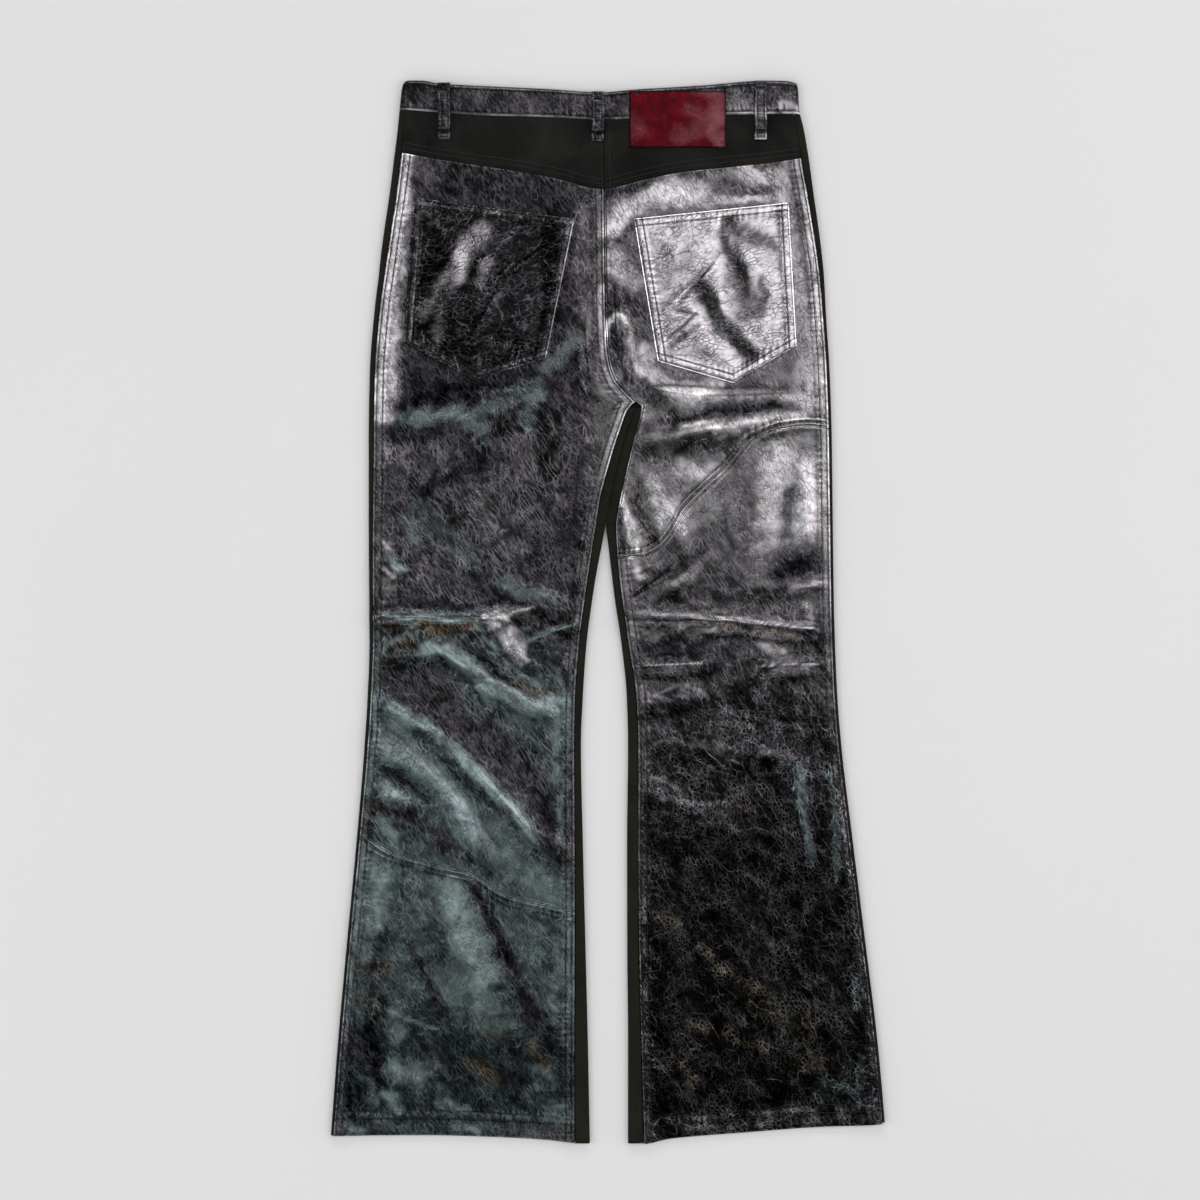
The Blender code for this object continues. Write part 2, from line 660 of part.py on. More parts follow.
def surface_finder(things):
    """A function that gives the height of the highest of these objects at a place, in millimetres."""
    points, faces = [], []
    for thing in things:
        start = len(points)
        points += [vertex.co.copy() for vertex in thing.data.vertices]
        faces += [tuple(start + i for i in face.vertices) for face in thing.data.polygons]
    tree = BVHTree.FromPolygons(points, faces)

    def height_at(x, y):
        heights = []
        for aside in (-0.6, 0.0, 0.6):
            hit = tree.ray_cast(Vector((x * MM, (y + aside) * MM, 0.1)), Vector((0, 0, -1)))[0]
            heights.append(WAIST_HEIGHT + 0.2 if hit is None else hit.z / MM)
        return max(heights)

    return height_at


def make_overlay(name, carriers, left, right, bottom, top, rows, columns, thickness, material,
                 parent, relief=0.0):
    """A flat piece sewn onto others: its points are theirs, moved out."""
    height_at = surface_finder(carriers)
    outside, inside = [], []
    for row in range(rows):
        for column in range(columns):
            across, along = column / (columns - 1), row / (rows - 1)
            x, y = panel_place(left, right, bottom, top, across, along)
            rest = height_at(x, y) + LAY_GAP
            crown = relief * math.sin(math.pi * across) * math.sin(math.pi * along)
            inside.append(Vector((x, y, rest)))
            outside.append(Vector((x, y, rest + thickness + crown)))
    return make_wall(name, outside, inside, grid_quads(rows, columns), material, parent)


def make_pocket(name, corners, carrier, material, parent):
    left = straight_line(corners["left"], corners["top_left"])
    right = straight_line(corners["right"], corners["top_right"])
    tip = corners["tip"]

    def bottom(x):
        side = corners["left"] if x < tip[0] else corners["right"]
        return mix(tip[1], side[1], (x - tip[0]) / (side[0] - tip[0]))

    def top(x):
        start, end = corners["top_left"], corners["top_right"]
        return mix(start[1], end[1], (x - start[0]) / (end[0] - start[0]))

    return make_overlay(name, [carrier], left, right, bottom, top, 10, 11, POCKET_THICK,
                        material, parent, relief=1.2)


def make_waistband(material, parent):
    """One strip right round the waist, its ends lapped under the front."""
    stations = []

    def under(x, raised):
        stations.append(("under", x, raised))

    lap = LEATHER + 0.35
    left_roll_end, right_roll_end = WAIST_LEFT + ROLL, WAIST_RIGHT - ROLL
    under(LAP_LEFT_END, 0.0)
    for fraction in reversed(FRONT_FRACTIONS[1:]):
        under(mix(left_roll_end, FRONT_CENTRE, fraction), 0.0)
    stations += [("left_roll", step / ROLL_STEPS, 0.0) for step in range(ROLL_STEPS + 1)]
    for step in range(1, BAND_STEPS):
        stations.append(("over", mix(left_roll_end, right_roll_end, step / BAND_STEPS), 0.0))
    stations += [("right_roll", 1.0 - step / ROLL_STEPS, 0.0) for step in range(ROLL_STEPS + 1)]
    for fraction in FRONT_FRACTIONS[1:4]:
        under(mix(right_roll_end, FRONT_CENTRE, fraction), 0.0)
    under(LAP_LEFT_END + LAP_RAMP + 12.0, 0.0)
    under(LAP_LEFT_END + LAP_RAMP * 0.5, lap * 0.6)
    under(LAP_LEFT_END + 5.0, lap)
    under(LAP_RIGHT_END, lap)

    shares = (0.0, 1 / 3, 2 / 3, 1.0)
    outside, inside = [], []
    for kind, value, raised in stations:
        for share in shares:
            crown = BAND_CROWN * math.sin(math.pi * share)
            if kind == "under":
                y = mix(front_band_seam(value) + HALF_GAP, front_band_top(value), share)
                pair = (Vector((value, y, WAIST_LIFT + raised)),
                        Vector((value, y, WAIST_LIFT + raised + LEATHER)))
            elif kind == "over":
                y = mix(band_seam(value) + HALF_GAP, band_top(value), share)
                top = WAIST_HEIGHT + 0.2 + crown
                pair = (Vector((value, y, top)), Vector((value, y, top - LEATHER)))
            else:
                left = kind == "left_roll"
                edge_x = WAIST_LEFT if left else WAIST_RIGHT
                corner = band_top(-208.0 if left else 191.0)
                y = mix(band_seam(edge_x) + HALF_GAP, corner, share)
                edge = side_edge["left_edge" if left else "right_edge"](y)
                high = WAIST_HEIGHT + 0.2 + crown * value
                pair = roll_point(edge, 1.0 if left else -1.0, y, WAIST_LIFT, high,
                                  math.pi * value, LEATHER)
            outside.append(pair[0])
            inside.append(pair[1])
    return make_wall("waistband", outside, inside, grid_quads(len(stations), len(shares)),
                     material, parent)


def make_back_loop(name, place, band, yoke, material, parent):
    """A belt loop: both ends sewn down, and the middle standing clear for a belt."""
    x_middle, low_end, high_end = place
    height_at = surface_finder([band, yoke])
    foot = 6.5
    slope = 4.0
    stations = [low_end, low_end + foot, low_end + foot + slope]
    arch_end = high_end - foot - slope
    stations += [mix(stations[-1], arch_end, step / 3) for step in range(1, 4)]
    stations += [high_end - foot, high_end]
    outside, inside = [], []
    for index, y in enumerate(stations):
        standing = 2 <= index <= 5
        for across in (-1.0, -0.5, 0.0, 0.5, 1.0):
            x = x_middle + across * LOOP_WIDTH / 2
            rest = max(height_at(x_middle, y), WAIST_HEIGHT + 0.2 if standing else 0.0)
            bow = 0.25 * (1.0 - across * across)
            if standing:
                rest = WAIST_HEIGHT + 0.2 + BAND_CROWN + LOOP_ARCH - 0.3
            inside.append(Vector((x, y, rest + LAY_GAP)))
            outside.append(Vector((x, y, rest + LAY_GAP + LOOP_THICK + bow)))
    return make_wall(name, outside, inside, grid_quads(len(stations), 5), material, parent)


def make_front_loop(name, x_middle, material, parent):
    """A belt loop pressed flat between the waistband and the surface the garment lies on."""
    top = front_band_top(x_middle)
    low = top - FRONT_LOOP_LENGTH
    outside, inside = [], []
    for row in range(4):
        y = mix(low, top, row / 3)
        for across in (-1.0, -0.4, 0.4, 1.0):
            x = x_middle + across * LOOP_WIDTH / 2
            edge = 0.25 if abs(across) == 1.0 or row in (0, 3) else 0.0
            inside.append(Vector((x, y, 0.0)))
            outside.append(Vector((x, y, FRONT_LOOP_THICK - edge)))
    return make_wall(name, outside, inside, grid_quads(4, 4), material, parent)


def make_fly_flap(material, parent):
    """The flap over the fly, curved in to the front seam at its lower end, under the left front."""
    right_edge = FRONT_CENTRE - 0.6
    left_edge = right_edge - FLY_WIDTH
    outside, inside = [], []
    rows, columns = 9, 6
    for row in range(rows):
        for column in range(columns):
            x = mix(left_edge, right_edge, column / (columns - 1))
            corner = (right_edge - x) / FLY_WIDTH
            low = FLY_END + FLY_CURVE * (1.0 - math.sqrt(max(0.0, 1.0 - corner ** 2)))
            y = mix(low, front_band_seam(x) - SEAM_GAP, row / (rows - 1))
            outside.append(Vector((x, y, LEATHER)))
            inside.append(Vector((x, y, 0.0)))
    return make_wall("fly_flap", outside, inside, grid_quads(rows, columns), material, parent)


def make_button(material, parent):
    """A flat waist button with a dished face turned to the surface below."""
    profile = ((0.0, 0.35), (4.8, 0.35), (6.0, 0.0), (7.6, 0.0), (BUTTON_RADIUS, 0.7),
               (BUTTON_RADIUS - 0.4, 1.3), (6.4, BUTTON_HEIGHT), (0.0, BUTTON_HEIGHT))
    form = bmesh.new()
    ring = [form.verts.new((radius * MM, 0.0, height * MM)) for radius, height in profile]
    edges = [form.edges.new((start, end)) for start, end in zip(ring, ring[1:])]
    bmesh.ops.spin(form, geom=ring + edges, cent=(0, 0, 0), axis=(0, 0, 1),
                   angle=2 * math.pi, steps=28, use_duplicate=False)
    bmesh.ops.remove_doubles(form, verts=form.verts[:], dist=0.00001)
    bmesh.ops.recalc_face_normals(form, faces=form.faces[:])
    mesh = bpy.data.meshes.new("waist_button")
    form.to_mesh(mesh)
    form.free()
    thing = finish_object("waist_button", mesh, material, parent)
    thing.location = (BUTTON_PLACE[0] * MM, BUTTON_PLACE[1] * MM, 0.0)
    return thing


def centre_on_box(root):
    """Move the parent so that the garment's box stands centred on the origin, on z = 0."""
    bpy.context.view_layer.update()
    corners = [thing.matrix_world @ vertex.co for thing in root.children
               for vertex in thing.data.vertices]
    low = [min(corner[axis] for corner in corners) for axis in range(3)]
    high = [max(corner[axis] for corner in corners) for axis in range(3)]
    root.location = (-(low[0] + high[0]) / 2, -(low[1] + high[1]) / 2, -low[2])
    print("box", [round((high[axis] - low[axis]) / MM, 2) for axis in range(3)], "shift",
          [round(value / MM, 3) for value in root.location])


def build():
    clear_scene()
    root = bpy.data.objects.new("laid_out", None)
    bpy.context.scene.collection.objects.link(root)
    materials = {name: make_material(name) for name in COLOURS}
    make_backs(materials, root)
    for side_name in ("left", "right"):
        make_front(side_name, materials["suede"], root)
    band = make_waistband(materials["band_leather"], root)
    objects = bpy.data.objects
    make_pocket("pocket_left", POCKET_LEFT, objects["back_left_upper"], materials["gloss_leather"], root)
    make_pocket("pocket_right", POCKET_RIGHT, objects["back_right_upper"], materials["gloss_leather"], root)
    make_overlay("waist_patch", [band, objects["yoke_right"]],
                 lambda y: PATCH["left"], lambda y: PATCH["right"],
                 lambda x: PATCH["bottom"], lambda x: PATCH["top"], 8, 8, PATCH_THICK,
                 materials["red_leather"], root)
    for name, place in LOOPS.items():
        yoke = objects["yoke_right" if place[0] > 0 else "yoke_left"]
        make_back_loop(name, place, band, yoke, materials["band_leather"], root)
    make_front_loop("loop_front_left", FRONT_LOOP_PLACES[0], materials["band_leather"], root)
    make_front_loop("loop_front_right", FRONT_LOOP_PLACES[1], materials["band_leather"], root)
    make_fly_flap(materials["suede"], root)
    make_button(materials["button_metal"], root)
    centre_on_box(root)
    print("triangles", {thing.name: len(thing.data.polygons) for thing in root.children})


build()
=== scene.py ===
# %% [markdown]
# Leather trousers, laid flat on their front
#
# This notebook dresses the plain solids of a pair of flared trousers: glossy cracked leather
# backs, suede fronts and yoke, patch pockets, a waistband with belt loops, and a bare red
# patch. Sizes are in millimetres until a mesh is made. +X runs across the legs, +Y up to the
# waist, +Z off the table.

# %% load the fixed frame
import math

import bpy
import numpy as np
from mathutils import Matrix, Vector


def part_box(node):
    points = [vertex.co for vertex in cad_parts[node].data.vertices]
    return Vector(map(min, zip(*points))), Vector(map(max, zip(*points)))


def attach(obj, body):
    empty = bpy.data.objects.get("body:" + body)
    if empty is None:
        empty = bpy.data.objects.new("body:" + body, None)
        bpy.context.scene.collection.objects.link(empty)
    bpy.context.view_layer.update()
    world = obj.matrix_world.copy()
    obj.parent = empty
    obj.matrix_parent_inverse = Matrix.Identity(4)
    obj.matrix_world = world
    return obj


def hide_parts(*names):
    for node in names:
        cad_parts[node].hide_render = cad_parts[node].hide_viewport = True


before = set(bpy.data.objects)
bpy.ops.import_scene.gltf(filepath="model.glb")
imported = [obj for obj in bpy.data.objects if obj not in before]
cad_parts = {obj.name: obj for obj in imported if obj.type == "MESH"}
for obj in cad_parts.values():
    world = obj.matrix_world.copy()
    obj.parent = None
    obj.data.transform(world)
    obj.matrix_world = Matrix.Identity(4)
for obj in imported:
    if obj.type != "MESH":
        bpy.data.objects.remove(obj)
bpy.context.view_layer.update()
MM = 0.001
print("nodes", sorted(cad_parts))

# %% a table of numbers, one row to a line
def table(text):
    lines = [line.split() for line in text.strip().splitlines()]
    return tuple(tuple(float(cell) for cell in line) for line in lines if line[0] != "#")


print("a table row", table("1 2.5 -3")[0])

# %% [markdown]
# Where the pattern lies
#
# The pattern tables are drawn about a line between the legs, while the solids are centred on
# their own box. The waist button says how far one is from the other: its solid is in the frame,
# and its place on the pattern is known.

# %% the pattern's zero point in the frame
BUTTON_PLACE = (7.0, 507.0)
button_low, button_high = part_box("waist_button")
SHIFT = tuple((button_low[i] + button_high[i]) / 2 / MM - BUTTON_PLACE[i] for i in (0, 1))
print("pattern shift, mm", [round(value, 3) for value in SHIFT])

# %% [markdown]
# Curves of the pattern
#
# A pattern cutter draws each edge through a few marked points with a flexible rule. The same is
# done here: a cubic runs through the marks, with its slope held so that it never swings past
# one. The marks are written as text, one pair or one row after another, which keeps the tables
# easy to read.

# %% a curve through marks
def smooth_curve(pairs):
    places, values = np.array(sorted(pairs), dtype=float).T
    steps = np.diff(places)
    slopes = np.diff(values) / steps
    product, total = slopes[:-1] * slopes[1:], slopes[:-1] + slopes[1:]
    turns = np.where(product > 0, 2 * product / np.where(total == 0, 1, total), 0.0)
    tangents = np.concatenate(([slopes[0]], turns, [slopes[-1]]))

    def value_at(place):
        place = np.asarray(place, dtype=float)
        i = np.clip(np.searchsorted(places, place, side="right") - 1, 0, len(steps) - 1)
        t = (place - places[i]) / steps[i]
        start = values[i] * (1 + 2 * t) * (1 - t) ** 2 + tangents[i] * steps[i] * t * (1 - t) ** 2
        end = values[i + 1] * t * t * (3 - 2 * t) + tangents[i + 1] * steps[i] * t * t * (t - 1)
        before = values[0] + tangents[0] * (place - places[0])
        after = values[-1] + tangents[-1] * (place - places[-1])
        return np.where(t < 0, before, np.where(t > 1, after, start + end))

    return value_at


def points_of(text):
    """Points x, y from words such as 3,4 with spaces between them."""
    return [tuple(float(value) for value in word.split(",")) for word in text.split()]


def marked_curve(text):
    return smooth_curve(points_of(text))


print("half way up a curve", float(smooth_curve(((0, 0), (2, 4)))(1.0)))

# %% blends, and points of a surface
def mix(a, b, amount):
    return a + (b - a) * amount


def blend(value, low, high):
    amount = np.clip((value - low) / (high - low), 0.0, 1.0)
    return amount * amount * (3.0 - 2.0 * amount)


def bell(distance, width):
    return np.exp(-(distance / width) ** 2)


def stack(x, y, z):
    return np.stack([x, y, z], axis=-1)


def least_of(*values):
    return np.minimum.reduce(values)


def moved(curve, amount):
    return lambda value: curve(value) + amount


# %% marks along the legs
SIDE_COLUMNS = ("height", "left_edge", "left_strip", "right_edge", "right_strip")
SIDE_TABLE = table("""
-543 -283 2.6 284 2.6
-442 -275.4 2.6 275 2.6
-340 -266.2 2.6 262.6 2.6
-238 -256.5 2.6 249.9 2.6
-136 -247.9 3 237.7 2.6
-85 -244.8 3.1 233.6 2.6
-34 -243 3.2 231.3 2.6
17 -243.3 3.6 230 2.6
93 -243.8 4.1 229 2.7
175 -243.8 5.1 228 2.8
246 -242.6 5.1 225.7 2.8
308 -237.7 5.2 221.8 3.1
338 -234.1 5.6 220.3 4.1
369 -230.6 6.6 217.3 5.1
430 -221.9 7 208.9 6.6
460 -218 6.8 204.7 7.8
491 -214.2 6 199.4 7.4
514 -211.9 5 194.4 6.4
530 -210.3 5 193.8 6.4
536 -209 5 192.6 6.4
541 -206 5 189.6 6.4
""")
INSIDE_COLUMNS = ("height", "left_edge", "left_leather", "right_edge", "right_leather")
INSIDE_TABLE = table("""
-543 -18.4 -33.8 20.4 36.7
-442 -20.4 -33.8 20.4 33.7
-340 -22.9 -33.6 19.6 31.3
-238 -25.5 -33.7 19.4 30.6
-136 -27.5 -34.2 20.4 30.6
-85 -25.5 -33.2 19 28.4
-34 -21.9 -29.2 13.8 20.8
17 -15.3 -22.9 6.3 13.6
42 -11.2 -19.3 3.3 10.6
68 -6.2 -15.3 0.2 8.7
88 -2.4 -12.1 -2 8
115 3.2 -7.9 3.6 12.2
136 7 -2.6 7.4 16.8
166 14.4 6.1 14.8 23.8
188 21 13.5 21.4 29.4
203 26.2 19 26.6 33.4
210 28.6 24 29 34
""")


def column_curves(table, columns):
    return {name: smooth_curve([(row[0], row[i]) for row in table])
            for i, name in enumerate(columns) if i}


side_edge = column_curves(SIDE_TABLE, SIDE_COLUMNS)
inside_edge = column_curves(INSIDE_TABLE, INSIDE_COLUMNS)
print("flat width at the hem, left leg",
      round(float(inside_edge["left_edge"](-540) - side_edge["left_edge"](-540)), 1))

# %% seam lines across and along the garment
seat_seam = marked_curve("""
208,35.5 213,29.2 219,22.6 226,15.6 236,7.6 251,2 272,-1.2 318,-2.9 430,-4.1
545,-5.1""")
seam_right_leg = marked_curve("""
2,53 36,56 50,62 63,74 76,97 96,119 121,142 147,172 161,179.5 177,185 204,188
235,184""")
seam_left_leg = marked_curve("""
-262,-209 -252,-219 -240,-232 -218,-245 -175,-257.6 -141,-265.3 -110,-284.6 -95,-291
-68,-297 -28,-306""")
yoke_seam = marked_curve("""
-222,469 -168,459.5 -85,447 -44,438.8 -22,432.2 -4,430 14,433.8 34,439 75,447.3
159,456 212,463.5""")
band_seam = marked_curve("""
-216,511 -175,508 -126,504.7 -64,503 -4,500.4 33,501.8 84,504 151,506 198,506""")
band_top = marked_curve("""
-214,537.5 -202,540.6 -190,540.5 -172,537.5 -106,534 -64,532 -4,528.6 21,530.9
96,535.5 163,540.5 180,540.2 196,537""")
hem_left = marked_curve("-284,-534 -185,-533.4 -119,-535 -65,-538 -35,-541 -14,-542.6")
hem_right = marked_curve("16,-542.4 37,-542 63,-537 135,-531 216,-525 267,-523 286,-520.6")

POCKET_LEFT = dict(top_left=(-198, 422), top_right=(-33.7, 400), right=(-63, 257.8),
                   tip=(-137, 235), left=(-208, 274.3))
POCKET_RIGHT = dict(top_left=(26, 400.4), top_right=(184.3, 416.8), right=(192.4, 270),
                    tip=(127.5, 232.3), left=(50.5, 254.5))
PATCH = dict(left=21.5, right=120.0, bottom=471.8, top=529.6)
LOOPS = dict(left=(-166.6, 480.5, 538.0), centre=(-10.2, 478.6, 529.0),
             right=(155.1, 480.2, 540.0))

# %% [markdown]
# How thick leather lies
#
# Two layers of stiff leather never lie quite flat. The edges roll over with a small radius and
# stand a few millimetres high, and the back sinks on to the front away from them. The waist is
# thicker, because the band is lapped there and rides on its button and front loops.

# %% sizes of the lay
LEATHER = 1.2
SEAM_GAP = 0.36
HALF_GAP = SEAM_GAP / 2
ROLL = 3.2
RIM_HEIGHT = 6.2
REST_HEIGHT = 3.9
LEAST_HEIGHT = 3.3
RIM_REACH = 26.0
WAIST_HEIGHT = 6.9
WAIST_LIFT = 2.2
FRONT_CENTRE = -4.0
FLY_WIDTH = 39.0
FLY_RAMP = 28.0
FLY_END = 322.0
FLY_LIFT = 1.65
GAP_TOP = 88.0
CROTCH = 210.0
WAIST_LEFT, WAIST_RIGHT = -211.0, 194.0
CORNER_LEFT, CORNER_RIGHT = -208.0, 191.0
FRONT_DIP = 17.0

# %% [markdown]
# Folds and creases
#
# Each large fold is one row: where it starts and ends, half its width and its height. The same
# rows are in the solids. Creases are sharper, like a bend pressed into a stiff hide, so they
# use a profile with a narrow top. Rows below zero are troughs.

# %% the fold tables
# each row: x0 y0 x1 y1 half_width height
FOLDS = table("""
# beside the seat seam and round the crotch
12 318 24 246 12 5.5
-30 280 -14 226 12 5
-14 206 -33 80 13 -2.4
-40 196 -58 70 19 4
30 244 88 219 15 5.5
96 214 186 222 14 3.4
# left thigh
-208 197 -140 204 18 4.6
-140 204 -72 218 20 4.2
-200 108 -96 132 24 2.8
-226 52 -200 38 11 4.6
-230 28 -150 14 14 3.2
-104 34 -56 10 14 4.4
# left knee
-234 -6 -130 -8 10 7
-130 -8 -78 0 11 5.6
-108 -14 -88 -52 11 5.2
-176 -32 -136 -60 12 6
-136 -60 -68 -100 13 6.4
-76 -28 -40 -16 10 4.2
-228 -46 -192 -46 10 3.6
# left shin
-226 -92 -176 -122 13 5.6
-176 -122 -58 -246 14 6
-236 -134 -188 -162 15 5
-188 -162 -138 -238 18 5.2
-232 -182 -208 -196 12 4
-216 -276 -188 -338 18 4.2
-150 -300 -104 -420 20 4
-74 -330 -62 -470 18 3.6
-244 -330 -252 -470 16 3.2
# right thigh
40 178 94 185 13 4.6
94 185 194 200 14 5.4
14 124 30 62 9 4.4
50 124 67 80 12 4.4
198 130 200 72 15 4
120 96 136 52 17 3.4
60 22 98 52 12 4.8
# right knee
22 -8 117 -10 10 6.4
117 -10 210 -20 10 6.8
134 24 206 30 13 4.2
36 -56 94 -53 10 5.2
156 -56 216 -53 10 5.6
34 -96 88 -86 11 3.4
# right shin
60 -134 180 -150 15 4.2
193 -156 208 -240 14 5
228 -200 236 -290 11 4
50 -190 132 -232 18 3.8
76 -290 100 -410 20 3.8
160 -300 196 -430 20 3.4
232 -360 254 -480 16 3.4
""")
CREASES = table("""
# left knee
-232 -3 -128 -6 2.4 1.5
-232 -13 -140 -12 3 -1.6
-128 -6 -112 -44 2.8 1.2
-136 -12 -112 -45 3 -1.8
-112 -45 -52 -84 3 -1.6
-119 -1 -79 3 2.2 1.2
-74 -27 -40 -15 2.2 1.4
-226 -44 -196 -45 2 0.9
# right knee
22 -5 117 -6 2.2 1.6
117 -6 154 -12 2.2 1.8
154 -12 208 -16 2.2 1.4
24 -13 120 -14 3 -1.6
36 -55 92 -53 2 1.3
158 -55 214 -53 2 1.5
26 20 68 46 2.8 -1.8
26 12 60 34 2.4 0.9
172 42 210 56 5 -1.6
186 22 214 26 2 0.9
# seat and thigh
-20 300 -22 262 3 1
-38 250 -22 214 3.4 -1.4
6 330 10 262 3.6 -1.4
20 262 52 236 3.2 -1.2
70 192 180 211 6 -1.6
""")
print(len(FOLDS), "folds and", len(CREASES), "creases")

# %% [markdown]
# Small wrinkles
#
# Leather also carries many short wrinkles where it has been bent and pulled: crosswise beside
# the inseam, and slanting over knees and shins. Placing each by hand would be dull and no
# truer, so a row here gives a patch of leather, the way its wrinkles run and their sizes, and a
# seeded draw scatters them.

# %% scatter short wrinkles
# each row: x0 y0 x1 y1, the angle, its spread, how many, length, half_width, height
WRINKLE_PATCHES = table("""
30 -190 62 50 8 16 34 20 2.6 0.55
196 -200 226 120 -8 18 26 20 2.6 0.5
50 -60 200 20 4 20 30 34 3 0.55
44 -250 214 -66 -14 26 60 34 3.2 0.6
50 -520 250 -260 -40 50 60 30 3.4 0.5
60 50 200 150 60 40 26 26 3.2 0.5
20 60 90 200 -62 24 24 30 3 0.5
-230 60 -60 240 60 26 56 28 3.2 0.5
-232 -30 -44 60 -20 30 44 26 3 0.55
-232 -250 -44 -30 -42 22 64 36 3.4 0.6
-262 -520 -44 -270 -50 44 60 34 3.6 0.5
-60 100 -30 300 74 18 18 24 3 0.6
""")


def scatter_wrinkles(seed):
    draw = np.random.default_rng(seed)
    rows = []
    for x0, y0, x1, y1, angle, spread, count, length, half_width, height in WRINKLE_PATCHES:
        for _ in range(int(count)):
            turn = math.radians(angle + draw.normal(0.0, spread))
            half = 0.5 * length * draw.uniform(0.5, 1.5)
            x, y = draw.uniform(x0, x1), draw.uniform(y0, y1)
            across, along = half * math.cos(turn), half * math.sin(turn)
            size = draw.uniform(0.5, 1.4) * draw.choice((-1.0, 1.0, 1.0))
            width = half_width * draw.uniform(0.7, 1.3)
            rows.append((x - across, y - along, x + across, y + along, width, height * size))
    return rows


WRINKLES = scatter_wrinkles(11)
print(len(WRINKLES), "short wrinkles")

# %% heights of folds, creases and wrinkles
def ridges(x, y, rows, sharp):
    total = np.zeros_like(x)
    for x0, y0, x1, y1, half_width, height in rows:
        length = math.hypot(x1 - x0, y1 - y0)
        reach = length / 2 + 3.2 * half_width * (1.6 if sharp else 1.0)
        middle_x, middle_y = (x0 + x1) / 2, (y0 + y1) / 2
        near = (np.abs(x - middle_x) < reach) & (np.abs(y - middle_y) < reach)
        if not near.any():
            continue
        px, py = x[near] - x0, y[near] - y0
        along = (px * (x1 - x0) + py * (y1 - y0)) / length
        across = (px * (y1 - y0) - py * (x1 - x0)) / length
        past_end = np.maximum(0.0, np.maximum(-along, along - length))
        taper = 0.65 + 0.35 * np.sin(np.pi * np.clip(along / length, 0.0, 1.0))
        if sharp:
            far = (np.sqrt(across ** 2 + 0.5) - 0.7) / half_width
            far = far + (past_end / (2 * half_width)) ** 2
        else:
            far = (across / half_width) ** 2 + (past_end / (1.3 * half_width)) ** 2
        total[near] += height * taper * np.exp(-far)
    return total


WAVES = ((0.031, 0.012, 0.3), (-0.017, 0.036, 1.9), (0.052, -0.041, 4.1), (0.023, 0.071, 2.2),
         (0.088, 0.035, 5.2), (-0.064, 0.097, 0.9))


def slow_waves(x, y, height):
    total = np.zeros_like(x)
    for step, (across, along, start) in enumerate(WAVES):
        total += np.sin(across * x + along * y + start) / (1.0 + 0.6 * step)
    return total * height / 2.4


# %% height of the back over the table
def front_dip(x):
    half = (WAIST_RIGHT - WAIST_LEFT) / 2
    across = np.minimum(1.0, np.abs(x - (WAIST_LEFT + WAIST_RIGHT) / 2) / (half - ROLL))
    return FRONT_DIP * (1.0 - across ** 2)


def front_line(x, left, right):
    """A line right across the front, lower in the middle by its dip."""
    return mix(left, right, (x - WAIST_LEFT) / (WAIST_RIGHT - WAIST_LEFT)) - front_dip(x)


def front_band_seam(x):
    return front_line(x, band_seam(WAIST_LEFT), band_seam(WAIST_RIGHT))


def front_band_top(x):
    return front_line(x, band_top(CORNER_LEFT), band_top(CORNER_RIGHT))


def floor_lift(x, y):
    waist = WAIST_LIFT * blend(y, 425.0, 474.0)
    left = blend(x, FRONT_CENTRE - FLY_WIDTH - FLY_RAMP, FRONT_CENTRE - FLY_WIDTH - 3.0)
    right = 1.0 - blend(x, FRONT_CENTRE + 1.0, FRONT_CENTRE + FLY_RAMP)
    return np.maximum(waist, FLY_LIFT * left * right * blend(y, FLY_END - 54.0, FLY_END - 20.0))


def over_pocket(x, y, border=14.0):
    most = np.zeros_like(x)
    for left, right, low, high in ((-208, -33.7, 235, 422), (26, 192.4, 232.3, 416.8)):
        across = np.minimum(x - left, right - x) + border
        along = np.minimum(y - low + border, high + border + 20 - y)
        most = np.maximum(most, blend(np.minimum(across, along), 0.0, border))
    return most


print("lift over the fly, mm", round(float(floor_lift(-20.0, 380.0)), 2))

# %% the whole surface of the back
def cover_height(x, y, fine=True):
    x, y = np.broadcast_arrays(np.asarray(x, dtype=float), np.asarray(y, dtype=float))
    x, y = x.copy(), y.copy()
    lift = floor_lift(x, y)
    waist = blend(y, 400.0, 500.0)
    rest = mix(REST_HEIGHT + lift, WAIST_HEIGHT, waist)
    rim = mix(RIM_HEIGHT, WAIST_HEIGHT + 0.2, waist)
    outer = np.minimum(x - side_edge["left_edge"](y), side_edge["right_edge"](y) - x)
    roundness = bell(np.maximum(0.0, outer - ROLL), RIM_REACH)
    level = np.minimum(y, CROTCH)
    left_inner, right_inner = inside_edge["left_edge"](level), inside_edge["right_edge"](level)
    inner = np.maximum(0.0, np.where(x < left_inner, left_inner - x, x - right_inner))
    strength = 1.0 - blend(y, CROTCH - 15, CROTCH + 45)
    strength = strength * (1.0 - 0.55 * blend(y, GAP_TOP - 5, GAP_TOP + 30))
    near = bell(np.maximum(0.0, inner - ROLL), RIM_REACH) * strength
    roundness = np.maximum(roundness, near)
    clear = (1.0 - over_pocket(x, y)) * (1.0 - blend(y, 405, 432))
    height = mix(rest, rim, roundness) + ridges(x, y, FOLDS, False) * clear
    if fine:
        small = ridges(x, y, CREASES, True) + ridges(x, y, WRINKLES, True)
        height += (small + slow_waves(x, y, 0.7)) * clear
    least = LEAST_HEIGHT + lift
    low = height < least + 1.0
    return np.where(low, least + np.exp(np.minimum(0.0, height - least - 1.0)), height)


print("thickness on the left shin, mm", round(float(cover_height(-140.0, -180.0)), 2))

# %% [markdown]
# From grids of points to cloth
#
# Every panel is a grid of rows and columns between its four edges. Rows and columns crowd
# together near the edges, where the seams need fine relief, and open out in the middle. The
# grid is then given a thickness along its own normals and closed with a rim, which makes a thin
# shell as a cut piece of hide is.

